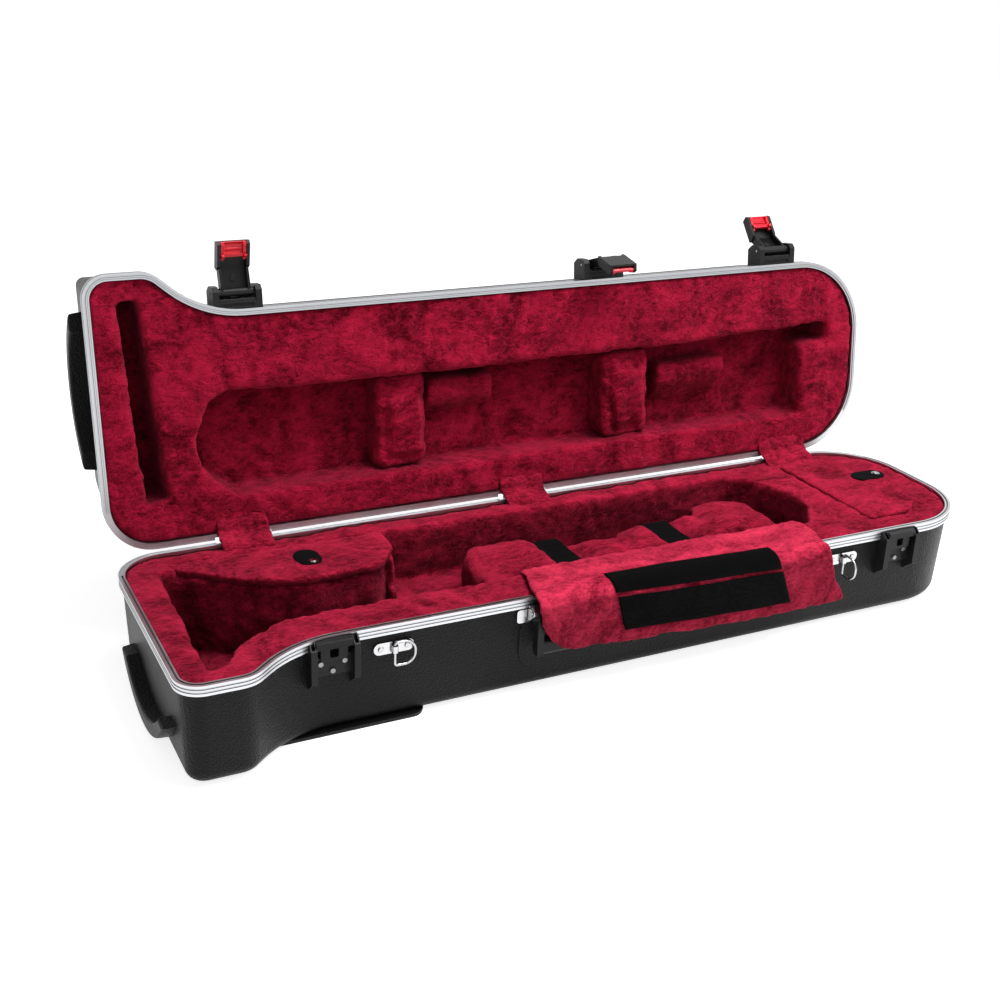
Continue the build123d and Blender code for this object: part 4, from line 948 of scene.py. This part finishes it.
def makeCamera():
    yaw = math.radians(cameraLook["yaw"])
    pitch = math.radians(cameraLook["pitch"])
    roll = math.radians(cameraLook["roll"])
    ahead = Vector((math.sin(yaw) * math.cos(pitch), math.cos(yaw) * math.cos(pitch), -math.sin(pitch)))
    flat = Vector((math.cos(yaw), -math.sin(yaw), 0))
    above = flat.cross(ahead)
    right = flat * math.cos(roll) + above * math.sin(roll)
    up = above * math.cos(roll) - flat * math.sin(roll)
    data = bpy.data.cameras.new("camera")
    data.lens = cameraLook["lens"]
    data.sensor_width = 36.0
    data.clip_end = 50.0
    camera = bpy.data.objects.new("camera", data)
    turn = Matrix((right, up, -ahead)).transposed().to_4x4()
    camera.matrix_world = Matrix.Translation(cameraLook["place"]) @ turn
    bpy.context.scene.collection.objects.link(camera)
    bpy.context.scene.camera = camera


makeCamera()

stageLook = {"floor": (0.86, 0.86, 0.86, 1), "floorGlow": 0.78, "floorHalf": 12.0, "floorDrop": 0.0006,
             "ambient": 0.27}

# Name, place, target, width, depth and power of each lamp
lampLook = (
    ("overhead", (0.45, -0.35, 1.75), (0.1, 0.0, 0.1), 1.0, 0.9, 37.0),
    ("frontFill", (-0.7, -2.2, 1.2), (0.0, 0.0, 0.15), 1.0, 1.0, 7.0),
    ("rightEdge", (1.7, -0.9, 1.3), (0.1, 0.0, 0.15), 0.8, 0.8, 9.0),
)


# 1 for the rays that should meet plain white, 0 for those that light the scene
def whiteForCamera(tree, x, y):
    path = addNode(tree, "ShaderNodeLightPath", x, y)
    seen = mathNode(tree, "MAXIMUM", x + 200, y)
    wire(tree, path, "Is Camera Ray", seen, 0)
    wire(tree, path, "Is Glossy Ray", seen, 1)
    clear = mathNode(tree, "MAXIMUM", x + 380, y)
    wire(tree, seen, 0, clear, 0)
    wire(tree, path, "Is Transmission Ray", clear, 1)
    return clear


def makeStage():
    world = bpy.data.worlds.new("studio")
    bpy.context.scene.world = world
    world.use_nodes = True
    tree = world.node_tree
    tree.nodes.clear()
    white = addNode(tree, "ShaderNodeBackground", 0, 120, inputs={"Color": (1, 1, 1, 1), "Strength": 1.0})
    soft = addNode(tree, "ShaderNodeBackground", 0, -60,
                   inputs={"Color": (1, 1, 1, 1), "Strength": stageLook["ambient"]})
    chosen = addNode(tree, "ShaderNodeMixShader", 260, 0)
    out = addNode(tree, "ShaderNodeOutputWorld", 460, 0)
    seen = whiteForCamera(tree, -700, 300)
    wire(tree, seen, 0, chosen, 0)
    wire(tree, soft, 0, chosen, 1)
    wire(tree, white, 0, chosen, 2)
    wire(tree, chosen, 0, out, 0)
    mesh = bpy.data.meshes.new("floor")
    half = stageLook["floorHalf"]
    corners = [(-half, -half, 0), (half, -half, 0), (half, half, 0), (-half, half, 0)]
    mesh.from_pydata(corners, [], [(0, 1, 2, 3)])
    floor = bpy.data.objects.new("floor", mesh)
    floor.location.z = -stageLook["floorDrop"]
    bpy.context.scene.collection.objects.link(floor)
    material = bpy.data.materials.new("paleFloor")
    material.use_nodes = True
    tree = material.node_tree
    tree.nodes.clear()
    matt = addNode(tree, "ShaderNodeBsdfDiffuse", 0, 100, inputs={"Color": stageLook["floor"]})
    glow = addNode(tree, "ShaderNodeEmission", 0, -60, inputs={"Color": (1, 1, 1, 1)})
    level = mathNode(tree, "MULTIPLY", -120, -200, second=stageLook["floorGlow"])
    seen = whiteForCamera(tree, -900, -200)
    wire(tree, seen, 0, level, 0)
    wire(tree, level, 0, glow, "Strength")
    both = addNode(tree, "ShaderNodeAddShader", 240, 0)
    out = addNode(tree, "ShaderNodeOutputMaterial", 440, 0)
    wire(tree, matt, 0, both, 0)
    wire(tree, glow, 0, both, 1)
    wire(tree, both, 0, out, "Surface")
    mesh.materials.append(material)
    for name, place, target, width, depth, power in lampLook:
        data = bpy.data.lights.new(name, "AREA")
        data.shape = "RECTANGLE"
        data.size = width
        data.size_y = depth
        data.energy = power
        lamp = bpy.data.objects.new(name, data)
        lamp.location = place
        aim = Vector(target) - Vector(place)
        lamp.rotation_euler = aim.to_track_quat("-Z", "Y").to_euler()
        bpy.context.scene.collection.objects.link(lamp)


makeStage()
bpy.context.scene.view_settings.view_transform = "Standard"
print("camera, floor and lamps placed")
